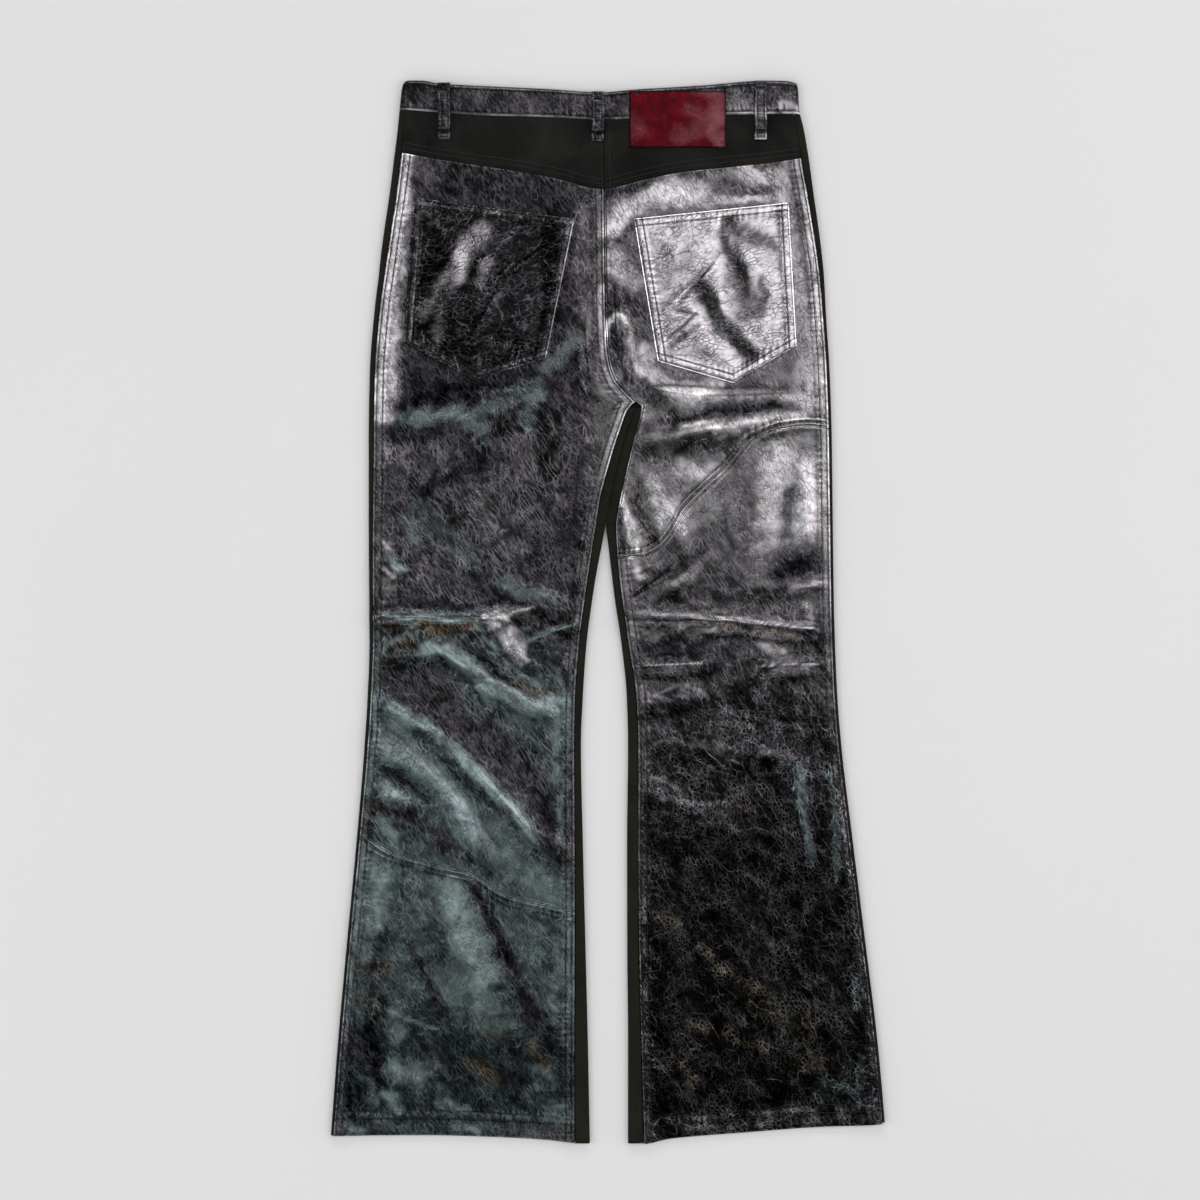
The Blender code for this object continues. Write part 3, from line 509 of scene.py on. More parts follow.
# %% grid helpers
# x depends on y and y on x, so the points are settled in rounds
GRID_ROUNDS, FRONT_ROUNDS = 50, 40


def stretch(curve, place):
    slope = curve(place + 0.5) - curve(place - 0.5)
    return np.minimum(1.7, np.hypot(1.0, slope))


def place_grid(left, right, bottom, top, columns, rows):
    """Points x, y of a panel between its edges, and their distances in from the four edges."""
    off_x, share_x = columns[:, 0][None, :], columns[:, 1][None, :]
    off_y, share_y = rows[:, 0][:, None], rows[:, 1][:, None]
    middle = (bottom(0.0) + top(0.0)) / 2
    x = mix(left(middle), right(middle), share_x) + off_x + 0 * off_y
    y = mix(bottom(x), top(x), share_y) + off_y
    for _ in range(GRID_ROUNDS):
        lean_x = np.where(share_x < 0.5, stretch(left, y), stretch(right, y))
        x = mix(left(y), right(y), share_x) + off_x * lean_x
        lean_y = np.where(share_y < 0.5, stretch(bottom, x), stretch(top, x))
        y = mix(y, mix(bottom(x), top(x), share_y) + off_y * lean_y, 0.6)
    inset = dict(left=(x - left(y)) / stretch(left, y), right=(right(y) - x) / stretch(right, y),
                 bottom=(y - bottom(x)) / stretch(bottom, x), top=(top(x) - y) / stretch(top, x))
    return x, y, inset


def grid_normals(points):
    across = np.gradient(points, axis=1)
    along = np.gradient(points, axis=0)
    normals = np.cross(across, along)
    lengths = np.linalg.norm(normals, axis=2, keepdims=True)
    return normals / np.maximum(lengths, 1e-9)


def grid_faces(rows, columns):
    corner = (np.arange(rows - 1)[:, None] * columns + np.arange(columns - 1)[None, :]).ravel()
    return np.stack([corner, corner + 1, corner + columns + 1, corner + columns], axis=1)


print("faces of a grid of 3 by 4 points", len(grid_faces(3, 4)))

# %% meshes and closed shells
def mesh_object(name, points, faces):
    mesh = bpy.data.meshes.new(name)
    spots = np.array(points, dtype=float) * MM
    spots[:, 0] += SHIFT[0] * MM
    spots[:, 1] += SHIFT[1] * MM
    mesh.from_pydata(spots.tolist(), [], [tuple(face) for face in faces.tolist()])
    mesh.validate()
    mesh.polygons.foreach_set("use_smooth", [True] * len(mesh.polygons))
    thing = bpy.data.objects.new(name, mesh)
    bpy.context.scene.collection.objects.link(thing)
    return thing


def open_edges(faces):
    starts = faces.ravel()
    ends = np.roll(faces, -1, axis=1).ravel()
    keys = {(int(a), int(b)) for a, b in zip(starts, ends)}
    return np.array([edge for edge in sorted(keys) if (edge[1], edge[0]) not in keys])


def shell(name, outside, inside, faces):
    """A closed shell from matching grids of outside and inside points."""
    outside, inside = outside.reshape(-1, 3), inside.reshape(-1, 3)
    count = len(outside)
    rim = open_edges(faces)
    rim_faces = np.stack([rim[:, 1], rim[:, 0], rim[:, 0] + count, rim[:, 1] + count], axis=1)
    all_faces = np.concatenate([faces, faces[:, ::-1] + count, rim_faces])
    return mesh_object(name, np.concatenate([outside, inside]), all_faces)


def panel_shell(name, points, thickness=LEATHER):
    rows, columns = points.shape[:2]
    inside = points - grid_normals(points) * thickness
    return shell(name, points, inside, grid_faces(rows, columns))


# %% [markdown]
# Seams that show on the leather
#
# A seam turns the cut edge of the hide under, so the edge is thicker and stands a little proud,
# and each row of stitches pulls a narrow groove into it. Between stitches the leather puckers.
# Here each edge of a panel can have a turned edge of a given width, with rows of stitches at
# given distances in. The same distances place the threads later, so they lie in their grooves.

# %% relief of a sewn edge
PUCKER_LENGTHS = (5.6, 9.1)
GROOVE_DEPTH, GROOVE_HALF = 0.34, 0.62
EDGE_DROP, EDGE_HALF = 0.7, 0.55
LIP_ENDS = (0.7, 4.2)


def seam_ripple(inset, along, last, seed):
    """Puckers beside the rows of stitches, from about -1.5 to 1.5."""
    wobble = np.sin(along * 0.113 + seed) * 1.9 + np.sin(along * 0.037 + 2.1 * seed) * 2.7
    strength = 0.6 + 0.4 * np.sin(along * 0.051 + 1.3 * seed)
    short, long = PUCKER_LENGTHS
    ripple = (np.sin(along * 2 * np.pi / short + wobble)
              + 0.5 * np.sin(along * 2 * np.pi / long - wobble))
    reach = bell(inset - last - 1.0, 4.6) + 0.6 * bell(inset - last / 2, 2.6)
    return strength * ripple * reach


def edge_relief(inset, along, rows, lip, pucker, seed):
    last = max(rows)
    height = lip * (1.0 - blend(inset, last + LIP_ENDS[0], last + LIP_ENDS[1]))
    height = height - EDGE_DROP * bell(np.maximum(inset, 0.0), EDGE_HALF)
    for row in rows:
        height = height - GROOVE_DEPTH * lip ** 0.5 * bell(inset - row, GROOVE_HALF)
    return height + pucker * seam_ripple(inset, along, last, seed)


def edge_shine(inset, along, rows, pucker, seed):
    """How much painted highlight a seam takes on its ridges, above zero, and painted shade in its
    grooves, below zero.
    """
    total = 0.8 * bell(inset - 0.5 * rows[0], 0.3 * rows[0])
    total = total - 1.5 * bell(np.maximum(inset, 0.0), 0.45)
    for row in rows:
        total = total - 1.3 * bell(inset - row, 0.6)
    for low, high in zip(rows, rows[1:]):
        total = total + 0.9 * bell(inset - (low + high) / 2, 0.36 * (high - low))
    return total + 1.7 * pucker * seam_ripple(inset, along, max(rows), seed)


def keep_shine(thing, shine):
    """Stores the painted highlight and shade of the seams on the outside points of a shell, and
    none on the inside.
    """
    layer = thing.data.attributes.new("seam", "FLOAT", "POINT")
    both = np.concatenate((shine.ravel(), np.zeros(shine.size)))
    layer.data.foreach_set("value", both.astype(np.float32))


# %% one panel: its four edges and its seams
class Panel:
    """Edges as curves, seams as {edge: (rows, lip, pucker)}, and the height of its surface."""

    def __init__(self, left, right, bottom, top, seams, base=cover_height, seed=1.0):
        self.edges = dict(left=left, right=right, bottom=bottom, top=top)
        self.seams, self.base, self.seed = seams, base, seed

    def points(self, columns, rows):
        edges = self.edges
        x, y, inset = place_grid(edges["left"], edges["right"], edges["bottom"], edges["top"],
                                 columns, rows)
        z = self.base(x, y)
        # the painted highlight and shade that each seam gives
        self.shine = np.zeros_like(x)
        for number, (edge, (lines, lip, pucker)) in enumerate(self.seams.items()):
            along = y if edge in ("left", "right") else x
            z = z + edge_relief(inset[edge], along, lines, lip, pucker, self.seed + number)
            self.shine += edge_shine(inset[edge], along, lines, pucker, self.seed + number)
        return stack(x, y, z)

    def cloth(self, name, columns, rows, thickness=LEATHER):
        """The closed piece, with the painted shine and shade of its seams kept on its points."""
        thing = panel_shell(name, self.points(columns, rows), thickness)
        keep_shine(thing, self.shine)
        return thing

    def stitch_line(self, edge, distance, count=1400):
        fine = np.array([(0.0, i / count) for i in range(count + 1)])
        near = (distance, 0.0) if edge in ("left", "bottom") else (-distance, 1.0)
        fixed = np.array([near] * 2)
        if edge in ("left", "right"):
            return self.points(fixed, fine)[:, 0]
        return self.points(fine, fixed)[0]


NEAR_SEAM = (0.0, 0.5, 1.1, 1.9, 2.6, 3.3, 4.6, 6.4, 8.0, 8.7, 9.4, 11.0, 13.0)
NEAR_PLAIN = (0.0, 0.6, 1.6, 3.0, 4.8)


def lines_between(length, step, near_low, near_high):
    margin_low, margin_high = near_low[-1] + step, near_high[-1] + step
    count = max(3, int(round((length - margin_low - margin_high) / step)))
    lines = [(offset, 0.0) for offset in near_low]
    for i in range(count + 1):
        share = i / count
        lines.append((margin_low * (1 - share) - margin_high * share, share))
    lines += [(-offset, 1.0) for offset in reversed(near_high)]
    return np.array(lines)


# %% [markdown]
# The four leather backs
#
# The back of each leg is cut in two: an upper piece from the yoke to a curved seam, and a lower
# one from there to the hem. The curved seams and the seat seam carry their stitches on one side
# only.

# %% edges of the backs
def left_outer_leather(y):
    return side_edge["left_edge"](y) + side_edge["left_strip"](y) + HALF_GAP


def right_outer_leather(y):
    return side_edge["right_edge"](y) - side_edge["right_strip"](y) - HALF_GAP


def seat_half_gap(y):
    slope = seat_seam(y + 1.0) - seat_seam(y - 1.0)
    return HALF_GAP * np.hypot(1.0, slope / 2.0)


def left_inner_leather(y):
    y = np.asarray(y, dtype=float)
    tip = inside_edge["left_leather"](212.0) + (y - 212.0) * 1.5
    seat = np.minimum(seat_seam(y) - seat_half_gap(y), tip)
    return np.where(y < 212.0, inside_edge["left_leather"](y) - HALF_GAP, seat)


def right_inner_leather(y):
    y = np.asarray(y, dtype=float)
    return np.where(y < 208.0, inside_edge["right_leather"](y) + HALF_GAP,
                    seat_seam(y) + seat_half_gap(y))


OUTSEAM = ((2.6, 8.7), 0.75, 0.16)
INSEAM = ((2.6, 8.7), 0.7, 0.17)
HEM_SEAM_LEFT = ((17.3, 24.5), 0.6, 0.12)
HEM_SEAM_RIGHT = ((14.3, 22.4), 0.6, 0.12)
CURVED_SEAM = ((1.6, 4.2, 6.8), 0.85, 0.2)
SEAT_RIGHT = ((1.6,), 0.3, 0.06)

YOKE_SIDE = moved(yoke_seam, -HALF_GAP)
BACKS = dict(
    back_left_upper=Panel(left_outer_leather, left_inner_leather, moved(seam_left_leg, HALF_GAP),
                          YOKE_SIDE, dict(left=OUTSEAM, right=INSEAM), seed=1.0),
    back_left_lower=Panel(left_outer_leather, left_inner_leather, hem_left,
                          moved(seam_left_leg, -HALF_GAP),
                          dict(left=OUTSEAM, right=INSEAM, bottom=HEM_SEAM_LEFT, top=CURVED_SEAM),
                          seed=2.0),
    back_right_upper=Panel(right_inner_leather, right_outer_leather,
                           moved(seam_right_leg, HALF_GAP), YOKE_SIDE,
                           dict(left=SEAT_RIGHT, right=OUTSEAM, bottom=CURVED_SEAM), seed=3.0),
    back_right_lower=Panel(right_inner_leather, right_outer_leather, hem_right,
                           moved(seam_right_leg, -HALF_GAP),
                           dict(left=INSEAM, right=OUTSEAM, bottom=HEM_SEAM_RIGHT), seed=4.0),
)
BACK_SIZES = dict(back_left_upper=(226, 690), back_left_lower=(232, 285),
                  back_right_upper=(200, 335), back_right_lower=(222, 640))
BACK_STEP = 2.1

# %% cut a piece and lay it in place of its plain solid
pieces = {}


def keep(node, piece):
    pieces[node] = piece
    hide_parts(node)
    print(piece.name, len(piece.data.polygons), "faces")


for name, panel in BACKS.items():
    width, length = BACK_SIZES[name]
    columns = lines_between(width, BACK_STEP, NEAR_SEAM, NEAR_SEAM)
    low = NEAR_SEAM if "bottom" in panel.seams else NEAR_PLAIN
    high = NEAR_SEAM if "top" in panel.seams else NEAR_PLAIN
    rows = lines_between(length, BACK_STEP, low, high)
    keep(name, panel.cloth(name + "_leather", columns, rows))

# %% [markdown]
# The suede yoke
#
# The yoke is suede, darker and matt beside the leather. It laps over the backs, with two rows
# of stitches just above its lower edge.

# %% yokes
YOKE_SEAMS = dict(bottom=((5.1, 10.2), 0.7, 0.05))
YOKES = dict(
    yoke_left=Panel(left_outer_leather, moved(seat_seam, -HALF_GAP), moved(yoke_seam, HALF_GAP),
                    moved(band_seam, -HALF_GAP), dict(YOKE_SEAMS, right=((1.4,), 0.25, 0.02)),
                    seed=5.0),
    yoke_right=Panel(moved(seat_seam, HALF_GAP), right_outer_leather, moved(yoke_seam, HALF_GAP),
                     moved(band_seam, -HALF_GAP), dict(YOKE_SEAMS, left=((6.0,), 0.35, 0.03)),
                     seed=6.0),
)
YOKE_STEP, YOKE_SIZE = 2.8, (205, 56)
NEAR_YOKE = (0.0, 0.5, 1.2, 2.6, 4.4, 5.1, 5.8, 8.0, 9.5, 10.2, 10.9, 13.0)
for name, panel in YOKES.items():
    columns = lines_between(YOKE_SIZE[0], YOKE_STEP, NEAR_PLAIN, NEAR_PLAIN)
    rows = lines_between(YOKE_SIZE[1], YOKE_STEP, NEAR_YOKE, NEAR_PLAIN)
    keep(name, panel.cloth(name + "_suede", columns, rows))

# %% [markdown]
# The suede fronts
#
# The fronts lie underneath. Their edges roll up round the sides and show as narrow suede bands
# beside the leather. The roll is half a flattened circle, swept along the outline of the leg.

# %% one suede front
ROLL_TURNS = 9
FRONT_THICK = 1.0
TONGUE_TOP, TONGUE_LEAST = 207.6, 2.0
TONGUE_ROWS, TONGUE_COLUMNS = 44, 7
FRONT_LOW = -541.5
LEG_ROWS, SEAT_ROWS = 212, 130
FLAT_SHARES = (0.0, 0.05, 0.12, 0.21, 0.32, 0.43, 0.54, 0.65, 0.72, 0.79, 0.86, 0.93, 1.0)
STRIP_SHARES = (1.0, 0.86, 0.66, 0.44, 0.22)


def front_edges(side):
    inward = 1.0 if side == "left" else -1.0
    return (inward, side_edge[side + "_edge"], side_edge[side + "_strip"],
            inside_edge[side + "_edge"], inside_edge[side + "_leather"],
            hem_left if side == "left" else hem_right)


def rolled(edge, inward, y, low, high, share, inset):
    """Points on a rolled edge: share 0 is underneath and share 1 on top."""
    angle = np.pi * share
    reach = (ROLL - inset) * np.sin(angle)
    rise = ((high - low) / 2 - inset) * np.cos(angle)
    x = edge + inward * (ROLL - reach)
    return stack(x, y, (low + high) / 2 - rise)


def strip_height(x, y, share):
    """Top of a suede band; share 1 is at the leather, which laps over it."""
    return cover_height(x, y, fine=False) - 0.4 * share ** 2


def strip_points(edge, inward, width, y, share, inset):
    x = edge + inward * mix(ROLL, width, share) * np.ones_like(y)
    return stack(x, y, strip_height(x, y, share) - inset)


print("points round a rolled edge", ROLL_TURNS + 1)

# %% the surface of a front, outside or inside
def front_surface(side, inset):
    inward, outer, strip, inner, leather, hem = front_edges(side)
    seam = FRONT_CENTRE - inward * HALF_GAP

    def bottom_inner(y):
        opened = inner(np.minimum(y, GAP_TOP)) - inward * ROLL
        return mix(opened, seam, blend(y, GAP_TOP, GAP_TOP + 14.0))

    rows_low = np.linspace(FRONT_LOW, GAP_TOP, LEG_ROWS)
    rows_high = np.linspace(GAP_TOP, front_band_seam(FRONT_CENTRE) - HALF_GAP, SEAT_ROWS)[1:]
    heights = np.concatenate([rows_low, rows_high])
    inner_x = bottom_inner(heights)
    top_at = lambda x: front_band_seam(x) - HALF_GAP
    level = (heights - hem(inner_x)) / (top_at(inner_x) - hem(inner_x))
    level = np.clip(level, 0.0, 1.0)

    def row_height(x_of_y):
        y = heights.copy()
        for _ in range(FRONT_ROUNDS):
            x = x_of_y(y)
            y = mix(y, mix(hem(x), top_at(x), level), 0.6)
        return y

    columns = []
    y = row_height(outer)
    edge, width = outer(y), strip(y) - HALF_GAP
    low = floor_lift(edge + inward * ROLL, y)
    high = strip_height(edge + inward * ROLL, y, 0.0)
    stop = np.where(width < ROLL, 0.5 + np.arccos(np.clip(1 - width / ROLL, -1, 1)) / np.pi, 1.0)
    for share in STRIP_SHARES:
        on_strip = strip_points(edge, inward, np.maximum(width, ROLL), y, share, inset)
        on_roll = rolled(edge, inward, y, low, high, stop, inset)
        columns.append(np.where((width > ROLL)[:, None], on_strip, on_roll))
    for turn in range(ROLL_TURNS, 0, -1):
        columns.append(rolled(edge, inward, y, low, high, stop * turn / ROLL_TURNS, inset))
    for share in FLAT_SHARES:
        line = lambda y: mix(outer(y) + inward * ROLL, bottom_inner(y), share)
        y = row_height(line)
        x = line(y)
        columns.append(stack(x, y, floor_lift(x, y) + inset))
    first_inner = len(columns)
    edge = inner(np.minimum(y, CROTCH))
    width = np.abs(leather(np.minimum(y, CROTCH)) + inward * HALF_GAP - edge)
    high = strip_height(edge - inward * ROLL, y, 0.0)
    for turn in range(1, ROLL_TURNS + 1):
        columns.append(rolled(edge, -inward, y, 0.0, high, turn / ROLL_TURNS, inset))
    for share in reversed(STRIP_SHARES):
        columns.append(strip_points(edge, -inward, np.maximum(width, ROLL), y, share, inset))
    return np.stack(columns, axis=1), len(rows_low), first_inner


print("flat lines under a front", len(FLAT_SHARES))

# %% close a front, and cut its tongue in the crotch
def make_front(side):
    outside, low_rows, first_inner = front_surface(side, 0.0)
    inside, _, _ = front_surface(side, FRONT_THICK)
    inward, _, _, inner, leather, _ = front_edges(side)
    rows, columns = outside.shape[:2]
    faces = grid_faces(rows, columns).reshape(rows - 1, columns - 1, 4)
    cloth = np.ones((rows - 1, columns - 1), dtype=bool)
    cloth[low_rows - 1:, first_inner - 1:] = False
    faces = faces[cloth]
    y = np.linspace(GAP_TOP, TONGUE_TOP, TONGUE_ROWS)
    edge = inner(y)
    facing = leather(y) + inward * HALF_GAP
    facing = np.where(np.abs(facing - edge) < TONGUE_LEAST, edge - inward * TONGUE_LEAST, facing)
    sheets = []
    for inset in (0.0, FRONT_THICK):
        grid = []
        for share in np.linspace(0.0, 1.0, TONGUE_COLUMNS):
            x = mix(edge + inward * 0.02, facing, share)
            dip = 1.1 * bell(np.abs(x - edge), 1.3)
            grid.append(stack(x, y, strip_height(x, y, share) - dip - inset))
        sheets.append(np.stack(grid, axis=1))
    tongue_faces = grid_faces(TONGUE_ROWS, TONGUE_COLUMNS)
    if inward > 0:
        faces, tongue_faces = faces[:, ::-1], tongue_faces[:, ::-1]
    return (shell("front_%s_suede" % side, outside, inside, faces),
            shell("crotch_%s_suede" % side, *sheets, tongue_faces))


for side in ("left", "right"):
    main, pieces["crotch_" + side] = make_front(side)
    keep("front_" + side, main)

# %% [markdown]
# The waistband
#
# One strip of leather goes right round the waist. Its upper edge is a fold, so it is rounded,
# and a row of stitches runs near each edge. Under the front its two ends lap.

# %% waistband
LAP_LEFT_END, LAP_RIGHT_END, LAP_RAMP = 18.0, -17.0, 26.0
LAP_GAP = 0.35
# how many places the band is measured at: under the left, at each turn, over the back, and
# under the right
UNDER_LEFT, TURN_STEPS, OVER_BACK, UNDER_RIGHT = 26, 10, 176, 16
BAND_DEPTH, BAND_ROWS = 28.0, (2.8, 3.4)
BAND_REST = WAIST_HEIGHT + 0.2
BAND_SHARES = np.array((0.0, 0.02, 0.05, 0.085, 0.12, 0.18, 0.26, 0.34, 0.42, 0.5, 0.58, 0.66,
                        0.74, 0.81, 0.86, 0.9, 0.94, 0.97, 0.99, 1.0))


def band_line(x, share):
    return mix(band_seam(x) + HALF_GAP, band_top(x), share)


def band_relief(x, share):
    low, high = share * BAND_DEPTH, (1.0 - share) * BAND_DEPTH
    groove = bell(low - BAND_ROWS[0], 0.6) + bell(high - BAND_ROWS[1], 0.6)
    fold = -1.5 * bell(high, 1.3) - 0.5 * bell(low, 0.6)
    wobble = 1.8 * np.sin(x * 0.09) + 2.2 * np.sin(x * 0.041 + 1.0)
    ripple = np.sin(x * 2 * np.pi / 7.3 + wobble) * np.sin(np.pi * share) ** 0.5
    slow = 0.3 * np.sin(x * 0.072 + 0.6) * np.sin(np.pi * share)
    return 0.5 * np.sin(np.pi * share) - 0.3 * groove + fold + 0.05 * ripple + slow


def band_points(inset):
    left_end, right_end = WAIST_LEFT + ROLL, WAIST_RIGHT - ROLL
    stations = []

    def under(x, raised):
        y = mix(front_band_seam(x) + HALF_GAP, front_band_top(x), BAND_SHARES)
        z = np.full_like(y, WAIST_LIFT + raised + inset)
        stations.append(stack(np.full_like(y, x), y, z))

    def turn(edge_name, edge_x, inward, corner_x, share):
        y = mix(band_seam(edge_x) + HALF_GAP, band_top(corner_x), BAND_SHARES)
        edge = side_edge[edge_name](y)
        high = BAND_REST + band_relief(edge + inward * ROLL, BAND_SHARES) * share
        stations.append(rolled(edge, inward, y, WAIST_LIFT, high, share, inset))

    lap = LEATHER + LAP_GAP
    under(LAP_LEFT_END, 0.0)
    for x in np.linspace(LAP_LEFT_END, left_end, UNDER_LEFT)[1:]:
        under(x, 0.0)
    for step in range(1, TURN_STEPS + 1):
        turn("left_edge", WAIST_LEFT, 1.0, CORNER_LEFT, step / TURN_STEPS)
    for x in np.linspace(left_end, right_end, OVER_BACK)[1:-1]:
        y = band_line(x, BAND_SHARES)
        z = BAND_REST + band_relief(x, BAND_SHARES) - inset
        stations.append(stack(np.full_like(y, x), y, z))
    for step in range(TURN_STEPS, 0, -1):
        turn("right_edge", WAIST_RIGHT, -1.0, CORNER_RIGHT, step / TURN_STEPS)
    for x in np.linspace(right_end, LAP_LEFT_END + LAP_RAMP + 12.0, UNDER_RIGHT):
        under(x, 0.0)
    for x, raised in ((36, lap * 0.35), (31, lap * 0.6), (26, lap * 0.9), (22, lap), (8, lap),
                      (LAP_RIGHT_END, lap)):
        under(x, raised)
    return np.stack(stations)


outside, inside = band_points(0.0), band_points(LEATHER)
band_faces = grid_faces(*outside.shape[:2])[:, ::-1]
keep("waistband", shell("waistband_leather", outside, inside, band_faces))
across = outside[:, :, 0]
low = BAND_DEPTH * np.repeat(BAND_SHARES[None, :], len(outside), axis=0)
high = BAND_DEPTH - low
# painted highlight on the band's edges and puckers, painted shade in its stitch grooves
pucker = (1.1 * np.sin(across * 1.19 + 1.9 * np.sin(across * 0.09))
          + 0.7 * np.sin(across * 0.72 + 1.0))
band_shine = (1.2 * bell(low - 1.0, 0.8) - 1.3 * bell(low - BAND_ROWS[0], 0.7)
              + pucker * bell(low - 5.2, 2.2) + 0.9 * bell(high - 1.2, 0.9)
              - 1.3 * bell(high - BAND_ROWS[1], 0.7) + 0.5 * pucker * bell(high - 6.0, 2.0))
keep_shine(pieces["waistband"], band_shine)

# %% [markdown]
# Patch pockets
#
# Each pocket is a five-sided piece of leather with its edges turned under. Two rows of stitches
# hold it, and the mouth is left open along its upper edge. The leather has crumpled in wear, so
# the pocket has its own folds.

# %% pockets
LAYER_GAP = 0.45
POCKET_THICK = 1.3
POCKET_REST = LAYER_GAP + POCKET_THICK
POCKET_FOLDS = table("""
# left pocket
-160 360 -190 310 10 1.5
-150 350 -175 296 7 1
-120 380 -140 320 12 1.1
-90 330 -120 270 16 -0.9
-70 380 -60 320 14 -0.8
# right pocket
118 410 128 352 9 -1.7
128 352 138 300 11 -1.5
96 318 110 284 8 -1.6
110 284 146 250 9 -1.5
150 370 172 350 9 -1
52 300 100 345 4 0.6
112 330 118 296 8 1.3
160 330 150 290 10 -0.9
""")
POCKET_CREASES = table("""
92 333 108 350 1.4 0.7
74 315 92 333 1.6 -0.6
70 305 90 302 1.4 -0.6
60 268 90 290 2.2 -0.9
-100 345 -62 372 1.6 0.7
-122 330 -100 352 1.8 0.7
-138 280 -110 330 1.8 0.7
""")


def straight(start, end):
    return lambda height: mix(start[0], end[0], (height - start[1]) / (end[1] - start[1]))


def pocket_panel(corners, seed):
    tip, low_left, low_right = corners["tip"], corners["left"], corners["right"]
    top_left, top_right = corners["top_left"], corners["top_right"]

    def bottom(x):
        left_part = mix(tip[1], low_left[1], (x - tip[0]) / (low_left[0] - tip[0]))
        right_part = mix(tip[1], low_right[1], (x - tip[0]) / (low_right[0] - tip[0]))
        return np.where(x < tip[0], left_part, right_part)

    def top(x):
        return mix(top_left[1], top_right[1], (x - top_left[0]) / (top_right[0] - top_left[0]))

    left, right = straight(low_left, top_left), straight(low_right, top_right)

    def base(x, y):
        edge = least_of(x - left(y), right(y) - x, y - bottom(x), top(x) - y)
        crown = 1.2 * blend(edge, 0.0, 45.0) - 0.35 * bell(np.maximum(edge, 0), 0.8)
        worn = ridges(x, y, POCKET_FOLDS, False) + ridges(x, y, POCKET_CREASES, True)
        worn = worn + slow_waves(x * 1.3 + 40 * seed, y * 1.3, 0.55)
        return cover_height(x, y, fine=False) + POCKET_REST + crown + worn * blend(edge, 6.0, 16.0)

    seam = ((1.9, 8.2), 0.35, 0.14)
    return Panel(left, right, bottom, top, dict(left=seam, right=seam, bottom=seam, top=seam),
                 base=base, seed=seed)


POCKETS = dict(pocket_left=pocket_panel(POCKET_LEFT, 7.0),
               pocket_right=pocket_panel(POCKET_RIGHT, 8.0))
POCKET_STEP, POCKET_SIZE = 1.7, (150, 165)
NEAR_POCKET = (0.0, 0.5, 1.2, 1.9, 2.6, 4.4, 6.4, 7.5, 8.2, 8.9, 10.6)
for name, panel in POCKETS.items():
    columns = lines_between(POCKET_SIZE[0], POCKET_STEP, NEAR_POCKET, NEAR_POCKET)
    rows = lines_between(POCKET_SIZE[1], POCKET_STEP, NEAR_POCKET, NEAR_POCKET)
    keep(name, panel.cloth(name + "_leather", columns, rows, POCKET_THICK))

# %% [markdown]
# The red patch and the belt loops
#
# The patch is a bare rectangle of red leather, glued down and tacked at its corners. Each belt
# loop is a folded strip of leather, sewn down at both ends and standing clear between them.

# %% surface of the waist, for what is sewn on to it
def waist_height(x, y):
    share = (y - band_seam(x) - HALF_GAP) / (band_top(x) - band_seam(x))
    on_band = BAND_REST + 0.7 * np.sin(np.pi * np.clip(share, 0.0, 1.0))
    on_yoke = cover_height(x, y, fine=False)
    return mix(on_yoke, on_band, blend(share, -0.06, 0.03))


# %% red patch
PATCH_THICK = 1.15
PATCH_RISE, PATCH_SPAN = 1.2, 1.5


def patch_side(place, seed):
    return lambda value: (place + 0.22 * np.sin(value * 0.9 + seed)
                          + 0.14 * np.sin(value * 2.3 + seed))


def patch_base(x, y):
    """The patch is stiff, so it rests on the highest place near each point."""
    around = [waist_height(x, y + step) for step in (0.0, -PATCH_SPAN, PATCH_SPAN)]
    soft = np.maximum.reduce(around)
    return soft + LAYER_GAP + PATCH_RISE + slow_waves(x * 3.1, y * 3.1, 0.22)


PATCH_SEAM = ((0.9,), 0.05, 0.0)
PATCH_STEP, PATCH_SIZE = 1.0, (98.5, 57.8)
NEAR_PATCH = (0.0, 0.3, 0.7, 1.2, 2.0)
patch_panel = Panel(*(patch_side(PATCH[edge], seed) for edge, seed in
                      (("left", 0.4), ("right", 2.0), ("bottom", 3.1), ("top", 4.7))),
                    {edge: PATCH_SEAM for edge in PATCH}, base=patch_base)
columns, rows = (lines_between(size, PATCH_STEP, NEAR_PATCH, NEAR_PATCH) for size in PATCH_SIZE)
keep("waist_patch", patch_panel.cloth("waist_patch_leather", columns, rows, PATCH_THICK))

# %% belt loops
LOOP_WIDTH, LOOP_THICK, LOOP_ARCH = 12.4, 1.5, 4.7
LOOP_FOOT, LOOP_SLOPE, LOOP_ROW = 6.5, 4.5, 2.8
HALF_LOOP = (0.25, 0.48, 0.55, 0.62, 0.8, 0.93, 1.0)
LOOP_ACROSS = np.array([-share for share in reversed(HALF_LOOP)] + [0.0, *HALF_LOOP])
LOOP_ROWS, LOOP_STITCH_COLUMNS = 64, (4, 10)


